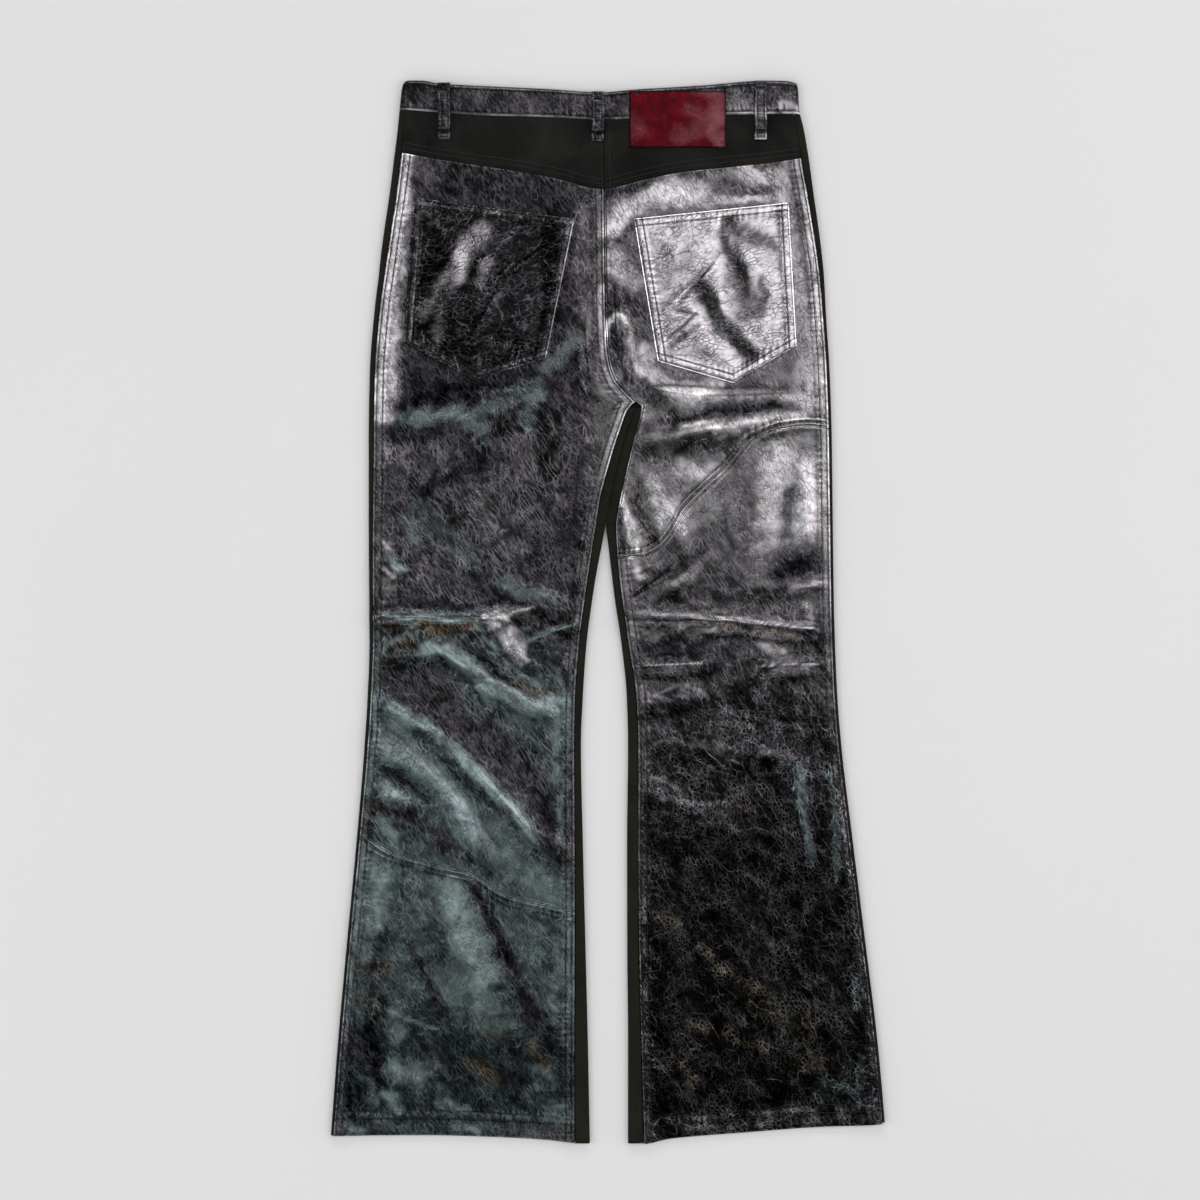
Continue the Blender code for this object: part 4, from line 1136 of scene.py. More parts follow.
def loop_points(x_middle, low_end, high_end, inset):
    across = LOOP_ACROSS[None, :]
    y = np.repeat(np.linspace(low_end, high_end, LOOP_ROWS)[:, None], len(LOOP_ACROSS), axis=1)
    x = x_middle + across * LOOP_WIDTH / 2 + 0.35 * np.sin(y * 0.11 + x_middle)
    rest = waist_height(np.full_like(y, x_middle), y) + LAYER_GAP
    arch = BAND_REST + 0.5 + LOOP_ARCH - 0.3 + LAYER_GAP
    rise = blend(y, low_end + LOOP_FOOT, low_end + LOOP_FOOT + LOOP_SLOPE)
    rise = rise * (1 - blend(y, high_end - LOOP_FOOT - LOOP_SLOPE, high_end - LOOP_FOOT))
    z = mix(rest, arch, rise) + LOOP_THICK - inset
    edge = (1.0 - np.abs(across)) * LOOP_WIDTH / 2
    shape = 0.25 - 0.55 * bell(edge, 0.45) - 0.3 * bell(edge - LOOP_ROW, 0.5)
    ends = np.minimum(y - low_end, high_end - y)
    tack = -0.4 * bell(ends - 2.5, 1.1) - 0.5 * bell(ends, 0.5)
    cross = 0.12 * np.sin(y * 1.6 + 2.2 * np.sin(y * 0.4))
    return stack(x, y, z + (shape + tack + cross) * (1.0 if inset == 0.0 else 0.35))


for name, place in LOOPS.items():
    outside, inside = loop_points(*place, 0.0), loop_points(*place, LOOP_THICK - 0.05)
    node = "loop_back_" + name
    keep(node, shell(node + "_leather", outside, inside, grid_faces(*outside.shape[:2])))

# %% fly flap and front belt loops, pressed flat underneath
def under_strip(name, left, right, low, high, columns, rows, thickness, row_of_stitches):
    """A flat strip under the front; low gives its lower edge, which may be curved."""
    x = np.repeat(np.linspace(left, right, columns)[None, :], rows, axis=0)
    share = np.linspace(0.0, 1.0, rows)[:, None]
    bottom, top = low(x), high(x)
    y = mix(bottom, top, share)
    edge = least_of(x - left, right - x, y - bottom, top - y)
    z = 0.02 + 0.25 * bell(edge - row_of_stitches, 0.6) + 0.4 * bell(edge, 0.5)
    over = stack(x, y, np.full_like(x, thickness))
    keep(name, shell(name + "_cloth", stack(x, y, z), over, grid_faces(rows, columns)[:, ::-1]))


FLY_LEFT, FLY_RIGHT, FLY_ROUND = -43.4, -4.8, 38.8
FLY_LOW, FLY_CORNER = 322.2, 24.0


def fly_low_edge(x):
    circle = np.sqrt(np.maximum(0.0, 1.0 - ((FLY_RIGHT - x) / FLY_ROUND) ** 2))
    return FLY_LOW + FLY_CORNER * (1.0 - circle)


under_strip("fly_flap", FLY_LEFT, FLY_RIGHT, fly_low_edge,
            lambda x: front_band_seam(x) - HALF_GAP - 0.1, columns=60, rows=150,
            thickness=1.25, row_of_stitches=3.0)
FRONT_LOOPS = dict(loop_front_left=-118.0, loop_front_right=104.0)
FRONT_LOOP_HALF, FRONT_LOOP_LOW, FRONT_LOOP_HIGH = 6.1, 473.5, 527.1
for name, x_middle in FRONT_LOOPS.items():
    under_strip(name, x_middle - FRONT_LOOP_HALF, x_middle + FRONT_LOOP_HALF,
                lambda x: FRONT_LOOP_LOW + 0 * x, lambda x: FRONT_LOOP_HIGH + 0 * x,
                columns=22, rows=90, thickness=1.8, row_of_stitches=2.6)

# %% [markdown]
# Thread
#
# The threads lie in the grooves: a short stitch shows, then dips under. Each stitch is a thin
# grain of thread, narrow at both ends, and a whole group of them is joined into one mesh to
# keep the scene light.

# %% a stitch, and rows of them
STITCH_PITCH = 3.3
STITCH_LENGTH = 2.5
STITCH_LIFT = 0.12
THREAD = 0.33
TACK_THREAD = 0.6
THREAD_SIDES = 6
# each ring: its place along the stitch, and its share of the thread's radius
THREAD_RINGS = ((-0.5, 0.25), (-0.34, 0.95), (0.34, 0.95), (0.5, 0.25))
stitch_groups = {}


def stitch_mesh_parts(centres, directions, length, radius):
    ups = np.tile(np.array([[0.0, 0.0, 1.0]]), (len(centres), 1))
    sideways = np.cross(directions, ups)
    sideways /= np.linalg.norm(sideways, axis=1, keepdims=True)
    points, faces = [], []
    for share, fat in THREAD_RINGS:
        for side in range(THREAD_SIDES):
            angle = 2 * np.pi * (side + 0.5) / THREAD_SIDES
            offset = sideways * math.cos(angle) * radius * fat
            offset = offset + ups * math.sin(angle) * radius * fat
            points.append(centres + directions * length * share + offset)
    points = np.stack(points, axis=1).reshape(-1, 3)
    base = np.arange(len(centres)) * THREAD_SIDES * len(THREAD_RINGS)
    for ring in range(len(THREAD_RINGS) - 1):
        for side in range(THREAD_SIDES):
            low, high = ring * THREAD_SIDES, (ring + 1) * THREAD_SIDES
            after = (side + 1) % THREAD_SIDES
            faces.append(np.stack([base + low + side, base + low + after, base + high + after,
                                   base + high + side], axis=1))
    return points, np.concatenate(faces)


def add_stitches(group, path, free=2.0):
    """A row of stitches along a path that stays free of thread at both ends."""
    steps = np.linalg.norm(np.diff(path, axis=0), axis=1)
    travelled = np.concatenate(([0.0], np.cumsum(steps)))
    margin = free + STITCH_LENGTH / 2
    places = np.arange(margin, travelled[-1] - free - STITCH_LENGTH / 2, STITCH_PITCH)

    def at(where):
        return np.stack([np.interp(where, travelled, path[:, i]) for i in range(3)], axis=1)

    reach = STITCH_LENGTH * 0.4
    directions = at(places + reach) - at(places - reach)
    directions /= np.linalg.norm(directions, axis=1, keepdims=True)
    centres = at(places)
    centres[:, 2] += STITCH_LIFT
    stitch_groups.setdefault(group, []).append((centres, directions, STITCH_LENGTH))


def finish_stitches(group, radius):
    points, faces, start = [], [], 0
    for centres, directions, length in stitch_groups[group]:
        spots, sides = stitch_mesh_parts(centres, directions, length, radius)
        points.append(spots)
        faces.append(sides + start)
        start += len(spots)
    thing = mesh_object("stitches_" + group, np.concatenate(points), np.concatenate(faces))
    print("stitches", group, sum(len(row[0]) for row in stitch_groups[group]))
    return thing


# %% rows of stitches on the leather
def panel_stitches(group, panel):
    for edge, (rows, _, _) in panel.seams.items():
        for distance in rows:
            add_stitches(group, panel.stitch_line(edge, distance))


for name, panel in BACKS.items():
    panel_stitches("leg_left" if "left" in name else "leg_right", panel)
for name, panel in YOKES.items():
    panel_stitches("yoke", panel)
for name, panel in POCKETS.items():
    panel_stitches("pockets", panel)
for share in (BAND_ROWS[0] / BAND_DEPTH, 1.0 - BAND_ROWS[1] / BAND_DEPTH):
    x = np.linspace(WAIST_LEFT + ROLL, WAIST_RIGHT - ROLL, 900)
    y = band_line(x, share)
    add_stitches("band", stack(x, y, BAND_REST + band_relief(x, share)))
for place in LOOPS.values():
    grid = loop_points(*place, 0.0)
    for column in LOOP_STITCH_COLUMNS:
        add_stitches("loops", grid[:, column], free=4.0)
TACKS = ((27.6, 525.9, 31.4, 525.2), (115.4, 528.2, 118.2, 526.0),
         (23.9, 475.4, 26.8, 478.9), (114.3, 478.4, 117.0, 475.6))
TACK_LIFT = 0.25
for x0, y0, x1, y1 in TACKS:
    middle = np.array([[(x0 + x1) / 2, (y0 + y1) / 2, 0.0]])
    middle[:, 2] = patch_base(middle[:, 0], middle[:, 1]) + TACK_LIFT
    along = np.array([[x1 - x0, y1 - y0, 0.0]])
    length = float(np.linalg.norm(along))
    stitch_groups.setdefault("tacks", []).append((middle, along / length, length))
for group in stitch_groups:
    pieces["stitches_" + group] = finish_stitches(
        group, TACK_THREAD if group == "tacks" else THREAD)

# %% [markdown]
# Painted reflections, highlights and shade on the leather
#
# The leather carries painted reflections, highlights and shade on its points, like strokes
# of a wide brush: a silver reflection at the hip, green grey reflections down one leg, and
# nearly black and crackled down the other, the black and the crackle being the hide's own.
# Each row is one stroke: its colour, its strength, half its width and the points that it
# runs through.

# %% the zones of the hide: its own tone and crackle, with painted reflection and shade
FILM_SHEEN_AND_SHADE = dict(silver=(0.46, 0.445, 0.465), white=(0.72, 0.70, 0.72), mid=(0.18, 0.173, 0.182),
            ash=(0.085, 0.080, 0.086), dark=(0.006, 0.0055, 0.007), teal=(0.205, 0.252, 0.256),
            pine=(0.062, 0.080, 0.080), pink=(0.46, 0.42, 0.44), brown=(0.034, 0.0285, 0.020),
            plum=(0.0155, 0.0145, 0.0160), rose=(0.52, 0.20, 0.24), wine=(0.055, 0.0008, 0.004))
# each row: x y, reach_x reach_y, red green blue, crackle; the colour mixes the hide's own tone
# with painted reflection and shade
ZONES = table("""
0 0 900 900 0.0235 0.0225 0.0245 0
130 240 150 280 0.21 0.205 0.213 0
90 330 190 110 0.105 0.1 0.107 0
-130 330 150 150 0.011 0.0103 0.0116 0
130 30 120 60 0.103 0.099 0.105 0.2
-160 -120 130 130 0.041 0.05 0.052 0.1
-160 -350 140 150 0.054 0.068 0.071 0.4
-160 -470 150 80 0.0095 0.0125 0.0138 0.3
140 -60 120 50 0.029 0.028 0.03 0.45
150 -200 135 130 0.0105 0.0102 0.011 1
160 -400 170 230 0.0048 0.0048 0.0051 1
0 520 280 45 0.02 0.019 0.021 0.65
""")
# the left pocket nearly black, the right one bright with a painted silver reflection
POCKET_ZONES = ((-120, 335, 130, 140, 0.0076, 0.0076, 0.0083, 0.9),
                (118, 330, 130, 140, 0.47, 0.46, 0.475, 0.75))
PATCH_ZONES = ((70, 500, 90, 60, 0.056, 0.0010, 0.0038, 0.6),)

# %% read strokes: colour, strength, half width and the points it runs through
def stroke_table(text):
    rows = []
    for line in text.strip().splitlines():
        if line.startswith("#"):
            continue
        kind, strength, half_width, places = line.split(maxsplit=3)
        rows.append((kind, float(strength), float(half_width), points_of(places)))
    return rows


# %% the strokes on the hips, pockets and band: painted reflections, highlights and shade
HIP_STROKES = stroke_table("""
white 0.62 7 -207,468 -214,396 -220,330 -224,276 -226,200
silver 0.98 11 -207,468 -214,396 -220,330 -224,276 -226,200
ash 0.7 9 -192,456 -182,440
silver 0.9 9 -128,388 -142,372 -155,343
mid 0.85 9 -160,340 -184,307
mid 0.8 5 -174,290 -172,278
mid 0.7 5 -124,355 -129,334
silver 0.4 0.9 -35,399 -63.5,258
silver 0.3 0.9 -189,420 -200.5,281
ash 0.9 12 -22,400 -20,300
mid 0.7 9 -20,308 -28,276
dark 0.75 8 -44,384 -50,330 -60,262
teal 0.5 7 -34,276 -60,250
dark 0.95 8 -2,424 24,432 52,441
dark 0.8 6 52,442 112,450 176,460
white 0.6 12 4,392 18,408 44,422 92,428
white 0.4 12 60,432 100,418
dark 0.72 6 116,438 140,430 166,426
silver 0.8 8 140,446 176,438
silver 0.8 4 112,420 164,420
dark 0.8 4.5 0,366 14,380 27,393
white 0.4 13 8,356 22,336
plum 0.85 11 2,318 30,314 36,284
dark 0.8 8 6,286 10,262
white 0.72 2.6 -1,282 1,294 8,302 16,300 22,289 26,262 30,246
dark 0.95 6 14,280 14,256 18,236
silver 0.7 8 37,268 40,246
silver 0.5 4 -8,330 -6,260
# right pocket
dark 0.92 8 124,399 116,378 127,357 136,340
ash 0.8 14 130,338 146,316 140,302
dark 0.92 9 92,332 100,316 112,298 130,279 147,262
dark 0.8 9 138,387 152,380 164,374
dark 0.75 6 156,338 160,320 151,300
ash 0.5 10 82,362 80,352
silver 0.6 5 112,332 120,306
dark 0.6 1.3 108,355 89,333 75,318
dark 0.8 2.2 90,303 63,279
brown 0.6 1 56,315 85,308
silver 0.6 10 176,430 188,360 198,300 202,230
ash 0.35 5 198,440 203,390
white 0.48 6 203,420 210,330 213,236
# waistband
silver 0.7 6 176,516 196,506 192,492
mid 0.7 7 128,512 160,508
mid 0.5 6 -198,512 -180,500
ash 0.6 6 -60,506 -120,502
""")
# rose strokes are painted highlights on the red patch, and wine strokes darken it
PATCH_STROKES = stroke_table("""
rose 0.22 7 92,530 114,528
rose 0.24 8 110,514 113,498 107,486 114,478
rose 0.1 9 74,484 92,491 108,500
rose 0.08 9 84,509 96,504
rose 0.06 9 24,499 33,490
wine 0.35 14 40,478 66,500
wine 0.3 12 30,520 70,522
""")

# %% the strokes on the left leg: painted reflections, highlights and shade
LEFT_STROKES = stroke_table("""
dark 0.85 10 -212,214 -170,224 -112,238
teal 0.75 8 -206,196 -160,202 -130,192 -128,178
teal 0.3 10 -126,200 -108,218 -76,226
teal 0.35 7 -72,228 -82,194
dark 0.75 10 -216,180 -172,182
dark 0.8 12 -110,162 -150,146 -186,126
ash 0.85 12 -90,168 -78,142
ash 0.7 16 -212,158 -180,150
dark 0.75 7 -228,104 -194,108
ash 0.5 22 -132,104 -96,74
dark 0.6 12 -84,84 -66,60
teal 0.35 9 -208,90 -200,76
teal 0.22 12 -190,104 -160,70 -140,56
pink 0.7 2.6 -228,70 -216,56
teal 0.85 4.5 -220,54 -208,41
pink 0.8 3 -228,44 -219,36
pink 0.5 4 -228,32 -225,20
teal 0.5 8 -104,28 -78,20 -56,10
dark 0.85 6 -210,14 -176,7 -138,4
dark 0.8 12 -26,240 -34,140 -44,60
dark 0.7 8 -62,10 -52,-6
# knee
teal 0.95 2.4 -230,-4 -180,-7 -133,-10
brown 0.9 6 -224,-14 -206,-20
brown 1 8 -190,-16 -160,-18 -140,-14
brown 0.9 5 -222,-38 -200,-34
teal 0.7 2.4 -229,-37 -214,-28 -200,-15
teal 0.85 3 -133,-12 -120,-32 -102,-50 -84,-65 -64,-75
dark 0.9 5 -124,-13 -108,-36 -96,-56
white 0.42 9 -110,-12 -100,-26 -90,-46
white 0.38 5 -122,-6 -100,-3 -82,2
plum 0.9 3.5 -98,-8 -87,-12
teal 0.6 2.6 -82,-29 -66,-20 -40,-15
teal 0.5 2.4 -70,-35 -46,-34
dark 0.8 8 -76,-44 -54,-58
# shin
teal 1 11 -182,-38 -160,-42 -140,-57 -118,-77 -90,-90 -52,-92
teal 0.5 14 -88,-104 -56,-112
dark 0.9 6 -142,-30 -122,-56 -96,-74
brown 0.8 5 -98,-74 -74,-80 -52,-82
plum 0.95 20 -222,-62 -180,-72 -166,-92
plum 1 28 -200,-78 -166,-104 -114,-146 -62,-204
dark 0.5 12 -120,-112 -74,-150 -62,-190
teal 1 8 -218,-98 -196,-112 -170,-133 -129,-169 -95,-199 -72,-232
teal 0.6 16 -224,-108 -200,-124
dark 0.6 6 -194,-127 -166,-147 -140,-180 -118,-200 -104,-208
teal 1 13 -222,-140 -186,-161 -160,-186 -144,-210 -142,-238
dark 0.9 6 -229,-159 -204,-172 -184,-192
teal 1 8 -226,-180 -217,-188
plum 0.95 13 -236,-199 -199,-210 -170,-233 -148,-250
dark 0.6 8 -190,-214 -164,-240
teal 0.95 8 -231,-212 -218,-232
teal 0.7 6 -56,-98 -52,-106
teal 0.85 6 -52,-126 -53,-144
teal 0.8 5 -52,-158 -53,-170
teal 0.7 3.5 -48,-190 -50,-232
dark 0.6 6 -70,-124 -68,-144
dark 0.85 12 -66,-196 -62,-240
teal 0.45 18 -116,-226 -96,-262 -64,-280
teal 0.6 8 -66,-266 -56,-288
""")

# %% the strokes from the curved seam to the hems: painted reflections, highlights and shade
LOW_STROKES = stroke_table("""
teal 0.9 12 -236,-250 -232,-274 -240,-316
teal 0.5 8 -250,-330 -246,-356
plum 0.5 9 -206,-262 -210,-320
teal 1 17 -158,-284 -146,-331 -122,-370
teal 0.5 22 -166,-380 -112,-418
dark 0.95 8 -203,-337 -187,-372 -172,-408
dark 1 11 -134,-284 -121,-315 -103,-350 -89,-380 -76,-420
teal 0.7 5 -52,-336 -52,-376
teal 0.9 6 -54,-388 -54,-420
dark 0.7 8 -62,-430 -60,-446
teal 0.8 6 -62,-466 -56,-482
brown 0.64 8 -250,-368 -222,-360
brown 0.45 12 -250,-396 -226,-404
dark 0.8 14 -258,-436 -230,-466
brown 0.45 6 -126,-430 -104,-433
brown 0.75 8 -78,-442 -62,-460
brown 0.71 9 -138,-462 -116,-474
teal 0.6 7 -220,-408 -212,-434
teal 0.9 12 -216,-466 -190,-474
dark 0.85 9 -178,-446 -156,-466
dark 0.7 5 -181,-478 -178,-504
teal 0.8 1.6 -223,-406 -201,-417 -174,-425
mid 0.6 1.4 -178,-457 -162,-476
teal 0.9 6 -226,-490 -214,-506
teal 0.8 5 -240,-480 -238,-498
teal 0.9 4 -172,-500 -146,-506
teal 0.45 10 -74,-490 -50,-510
dark 0.8 13 -104,-456 -82,-490
teal 0.8 4 -158,-522 -134,-530
teal 0.7 4 -268,-522 -250,-530
# the right leg below the knee
brown 0.26 6.5 53,-312 70,-320
brown 0.32 6.5 90,-331 114,-364 143,-384 167,-388
brown 0.34 9.1 86,-423 122,-433 155,-441
brown 0.22 10.4 65,-455 86,-468
brown 0.3 5.2 80,-478 94,-496
brown 0.26 13 190,-462 224,-456
brown 0.15 20.8 150,-400 200,-420
brown 0.19 5.2 128,-196 158,-201
teal 0.42 4.2 193,-160 199,-195 203,-226 207,-256
teal 0.22 3.4 226,-166 232,-216 234,-272
teal 0.2 4 257,-456 258,-498
teal 0.14 4 251,-372 254,-402
pine 0.3 12 222,-486 248,-492
dark 0.9 6 251,-274 262,-400 275,-500 278,-525
dark 0.9 5 -258,-274 -268,-417 -274,-520
""")

# %% the strokes on the right thigh and knee: painted reflections, highlights and shade
RIGHT_STROKES = stroke_table("""
dark 0.85 10 16,232 40,222 64,210
white 0.48 7 36,244 62,230 92,224 112,232
silver 0.8 7 70,216 92,212
dark 0.97 8 58,192 80,198 130,206 168,208
dark 0.5 3 166,209 194,206
ash 0.7 9 20,186 58,190
white 0.5 8 84,184 130,190 196,197
white 0.4 8 176,222 208,214
dark 0.4 12 144,232 176,226
plum 0.85 13 80,168 104,172 128,160
plum 0.85 13 26,168 66,150
silver 0.7 9 72,146 106,140
white 0.44 7 40,132 56,108 60,88
plum 0.95 9 26,126 34,100 44,72
white 0.68 3.2 12,120 19,90 28,62
dark 0.8 4 10,104 17,66
silver 0.5 7 60,100 76,86 86,90
white 0.56 16 176,164 172,130 166,92
white 0.58 12 206,150 202,84
ash 0.75 5 184,122 183,80
ash 0.75 16 136,152 132,110 132,62
plum 0.5 9 142,116 140,76
white 0.25 5 146,60 168,70 206,74
dark 0.97 13 176,40 208,50
silver 0.7 3.5 188,24 220,28
dark 0.95 3 26,16 48,34 76,56
white 0.64 6 28,48 36,38
silver 0.7 4 60,26 88,38
plum 0.85 10 60,14 120,12
plum 0.6 14 110,44 130,24
plum 0.6 14 150,14 186,10
silver 0.6 1.3 28,0 79,-5 130,-8 176,-14 208,-17
dark 0.9 3 40,-6 120,-12 200,-22
brown 0.8 2.6 94,-13 130,-14
brown 0.7 2.6 156,-20 190,-24
silver 0.75 6 28,-18 54,-26
silver 0.6 5 76,-17 108,-20
silver 0.85 7 156,-33 180,-40
silver 0.9 4 203,8 208,-6
dark 0.8 13 40,-36 128,-40
silver 0.8 0.8 37,-54 66,-55 96,-53
silver 0.8 1 158,-55 184,-53 214,-55
silver 0.6 1.1 46,-86 60,-80 76,-74 93,-80 103,-90
silver 0.5 1.1 41,-84 56,-88
mid 0.6 1.4 44,-136 56,-131 84,-135 117,-142
mid 0.45 6 98,-138 122,-148
mid 0.5 4 158,-143 184,-148
silver 0.5 1.1 44,-169 58,-171 74,-183
mid 0.5 1.1 56,-189 84,-195 118,-195
mid 0.5 1.1 44,-206 52,-204 62,-207
mid 0.4 1.2 118,-100 160,-110 206,-122
mid 0.4 1.2 104,-112 150,-118
""")

# %% paint them on the points: painted reflections, highlights and shade
LEG_STROKES = HIP_STROKES + LEFT_STROKES + LOW_STROKES + RIGHT_STROKES
# how strongly ridges take a painted highlight and hollows a painted shade
RIDGE_SHINE = 6.0
HOLLOW_SHADE = 16.0
PATCH_SHINE_SHARE = 0.15


def wandered(x, y):
    """Shifts the places a little, so that no stroke has a ruled edge."""
    side = (2.0 * np.sin(0.13 * x + 0.09 * y) + 1.3 * np.sin(0.31 * y - 0.17 * x + 1.0)
            + 0.6 * np.sin(0.71 * x + 0.53 * y))
    up = (2.0 * np.sin(0.11 * y - 0.12 * x + 2.0) + 1.3 * np.sin(0.29 * x + 0.21 * y)
          + 0.6 * np.sin(0.67 * y - 0.59 * x))
    return side, up


def stroke_weight(x, y, half_width, points):
    nearest = np.full(len(x), 1e9)
    for (x0, y0), (x1, y1) in zip(points, points[1:]):
        length = math.hypot(x1 - x0, y1 - y0)
        along = np.clip(((x - x0) * (x1 - x0) + (y - y0) * (y1 - y0)) / length ** 2, 0.0, 1.0)
        nearest = np.minimum(nearest, np.hypot(x - mix(x0, x1, along), y - mix(y0, y1, along)))
    return 1.0 - blend(nearest, 0.25 * half_width, 1.5 * half_width)


def film_colour(x, y, zones=ZONES, strokes=LEG_STROKES):
    """Red, green, blue and crackle at each place: the hide's own tone and crackle, with painted
    reflections, highlights and shade.
    """
    shade = np.zeros((len(x), 4))
    for cx, cy, reach_x, reach_y, red, green, blue, crackle in zones:
        far = np.sqrt(((x - cx) / reach_x) ** 2 + ((y - cy) / reach_y) ** 2)
        weight = (1.0 - blend(far, 0.8, 1.12))[:, None]
        shade = shade * (1.0 - weight) + np.array((red, green, blue, crackle)) * weight
    side, up = wandered(x, y)
    for kind, strength, half_width, points in strokes:
        places, margin = np.array(points), 2 * half_width + 4
        low, high = places.min(axis=0) - margin, places.max(axis=0) + margin
        near = (x > low[0]) & (x < high[0]) & (y > low[1]) & (y < high[1])
        if not near.any():
            continue
        loose = min(1.0, half_width / 6.0)
        at_x, at_y = x[near] + loose * side[near], y[near] + loose * up[near]
        weight = strength * stroke_weight(at_x, at_y, half_width, points)[:, None]
        shade[near, :3] = shade[near, :3] * (1.0 - weight) + np.array(FILM_SHEEN_AND_SHADE[kind]) * weight
    return shade


print("strokes on the legs", len(LEG_STROKES))

# %% painted highlights on ridges, painted shade in hollows
def read_vectors(collection, field, size, kind=float):
    values = np.empty(len(collection) * size, dtype=np.float32 if kind is float else np.int32)
    collection.foreach_get(field, values)
    return values.reshape(-1, size).astype(kind)


def ridge_bend(mesh):
    """How sharply the surface bends at each point, per millimetre: ridges above zero."""
    spots = read_vectors(mesh.vertices, "co", 3) / MM
    normals = read_vectors(mesh.vertices, "normal", 3)
    ends = read_vectors(mesh.edges, "vertices", 2, int)
    near, far = np.concatenate((ends, ends[:, ::-1])).T
    count = np.maximum(1, np.bincount(near, minlength=len(spots)))
    step = spots[far] - spots[near]
    fall = -2.0 * (step * normals[near]).sum(axis=1) / np.maximum(0.04, (step ** 2).sum(axis=1))
    bend = np.clip(np.bincount(near, fall, minlength=len(spots)) / count, -0.6, 0.6)
    for _ in range(2):
        bend = 0.5 * bend + 0.5 * np.bincount(near, bend[far], minlength=len(spots)) / count
    return bend


print("painted shine on ridges and shade in hollows", RIDGE_SHINE, HOLLOW_SHADE)

# %% paint every piece of glossy leather: its tone, painted reflections, highlights and shade
def paint_film(thing):
    mesh = thing.data
    spots = read_vectors(mesh.vertices, "co", 3) / MM
    x, y = spots[:, 0] - SHIFT[0], spots[:, 1] - SHIFT[1]
    if thing.name.startswith("pocket"):
        shade = film_colour(x, y, ZONES + POCKET_ZONES)
    elif thing.name.startswith("waist_patch"):
        shade = film_colour(x, y, PATCH_ZONES, PATCH_STROKES)
    else:
        shade = film_colour(x, y)
    # painted highlight on ridges and painted shade in hollows, weaker on the patch
    bend = ridge_bend(mesh) * (PATCH_SHINE_SHARE if thing.name.startswith("waist_patch") else 1.0)
    shine = np.where(bend > 0.0, RIDGE_SHINE * bend, HOLLOW_SHADE * bend)
    shade[:, :3] *= np.exp(np.clip(shine, -2.0, 1.0))[:, None]
    # painted highlight on the ridges of the seams, painted shade in their stitch grooves
    if "seam" in mesh.attributes:
        seam = read_vectors(mesh.attributes["seam"].data, "value", 1)
        raised, sunk = np.clip(seam, 0.0, 1.6), np.clip(seam, -1.6, 0.0)
        gain = 1.9 * np.exp(-shade[:, 1:2] / 0.16)
        shade[:, :3] = shade[:, :3] * (1.0 + gain * raised) * np.exp(2.1 * sunk) + 0.02 * raised
    layer = mesh.color_attributes.new("film", "FLOAT_COLOR", "POINT")
    layer.data.foreach_set("color", shade.astype(np.float32).ravel())


for name, thing in pieces.items():
    if name.startswith(("back_left", "back_right", "pocket", "waist", "loop")):
        paint_film(thing)
print("painted pieces", sum("film" in thing.data.color_attributes for thing in pieces.values()))

# %% [markdown]
# Node groups shared by the finishes
#
# The grain of a hide is the same kind of pattern everywhere, in other sizes. So it is built
# once as a node group with sockets for its sizes, and each leather sets its own values. Heights
# are in millimetres, and a Bump node turns them into slopes.

# %% small helpers for nodes
class Nodes:
    """Adds nodes to one tree and links them."""

    def __init__(self, tree):
        self.tree = tree
        self.step = 0

    def add(self, kind, links=None, **settings):
        node = self.tree.nodes.new(kind)
        self.step += 1
        node.location = (self.step * 180, -(self.step % 5) * 160)
        for key, value in settings.items():
            setattr(node, key, value)
        for socket, value in (links or {}).items():
            target = node.inputs[socket]
            if isinstance(value, bpy.types.NodeSocket):
                self.tree.links.new(value, target)
            else:
                target.default_value = value
        return node

    def math(self, operation, *values):
        return self.add("ShaderNodeMath", dict(enumerate(values)), operation=operation).outputs[0]

    def times(self, first, *rest):
        for value in rest:
            first = self.math("MULTIPLY", first, value)
        return first

    def vector(self, operation, *values):
        return self.add("ShaderNodeVectorMath", dict(enumerate(values)),
                        operation=operation).outputs[0]

    def scaled(self, vector, scale):
        return self.add("ShaderNodeVectorMath", {0: vector, "Scale": scale},
                        operation="SCALE").outputs[0]

    def ramp(self, value, from_low, from_high, to_low=0.0, to_high=1.0):
        links = {"Value": value, "From Min": from_low, "From Max": from_high,
                 "To Min": to_low, "To Max": to_high}
        return self.add("ShaderNodeMapRange", links).outputs["Result"]

    def noise(self, vector, scale, detail=2.0, roughness=0.5, distortion=0.0, out="Fac"):
        links = {"Vector": vector, "Scale": scale, "Detail": detail, "Roughness": roughness,
                 "Distortion": distortion}
        return self.add("ShaderNodeTexNoise", links).outputs[out]

    def cell_edges(self, vector, scale, width):
        """One on the edges between cells, falling to nothing at the width."""
        far = self.add("ShaderNodeTexVoronoi", {"Vector": vector, "Scale": scale},
                       feature="DISTANCE_TO_EDGE").outputs["Distance"]
        return self.ramp(far, 0.0, width, 1.0, 0.0)

    def rotated(self, vector, angle):
        return self.add("ShaderNodeVectorRotate", {"Vector": vector, "Angle": angle},
                        rotation_type="Z_AXIS").outputs[0]

    def between(self, factor, low, high):
        """A colour from low to high."""
        return self.add("ShaderNodeMix", {"Factor": factor, 6: (*low, 1.0), 7: (*high, 1.0)},
                        data_type="RGBA").outputs[2]

    def largest(self, first, second, third):
        return self.math("MAXIMUM", first, self.math("MAXIMUM", second, third))


print("node helpers", [name for name in vars(Nodes) if not name.startswith("_")])

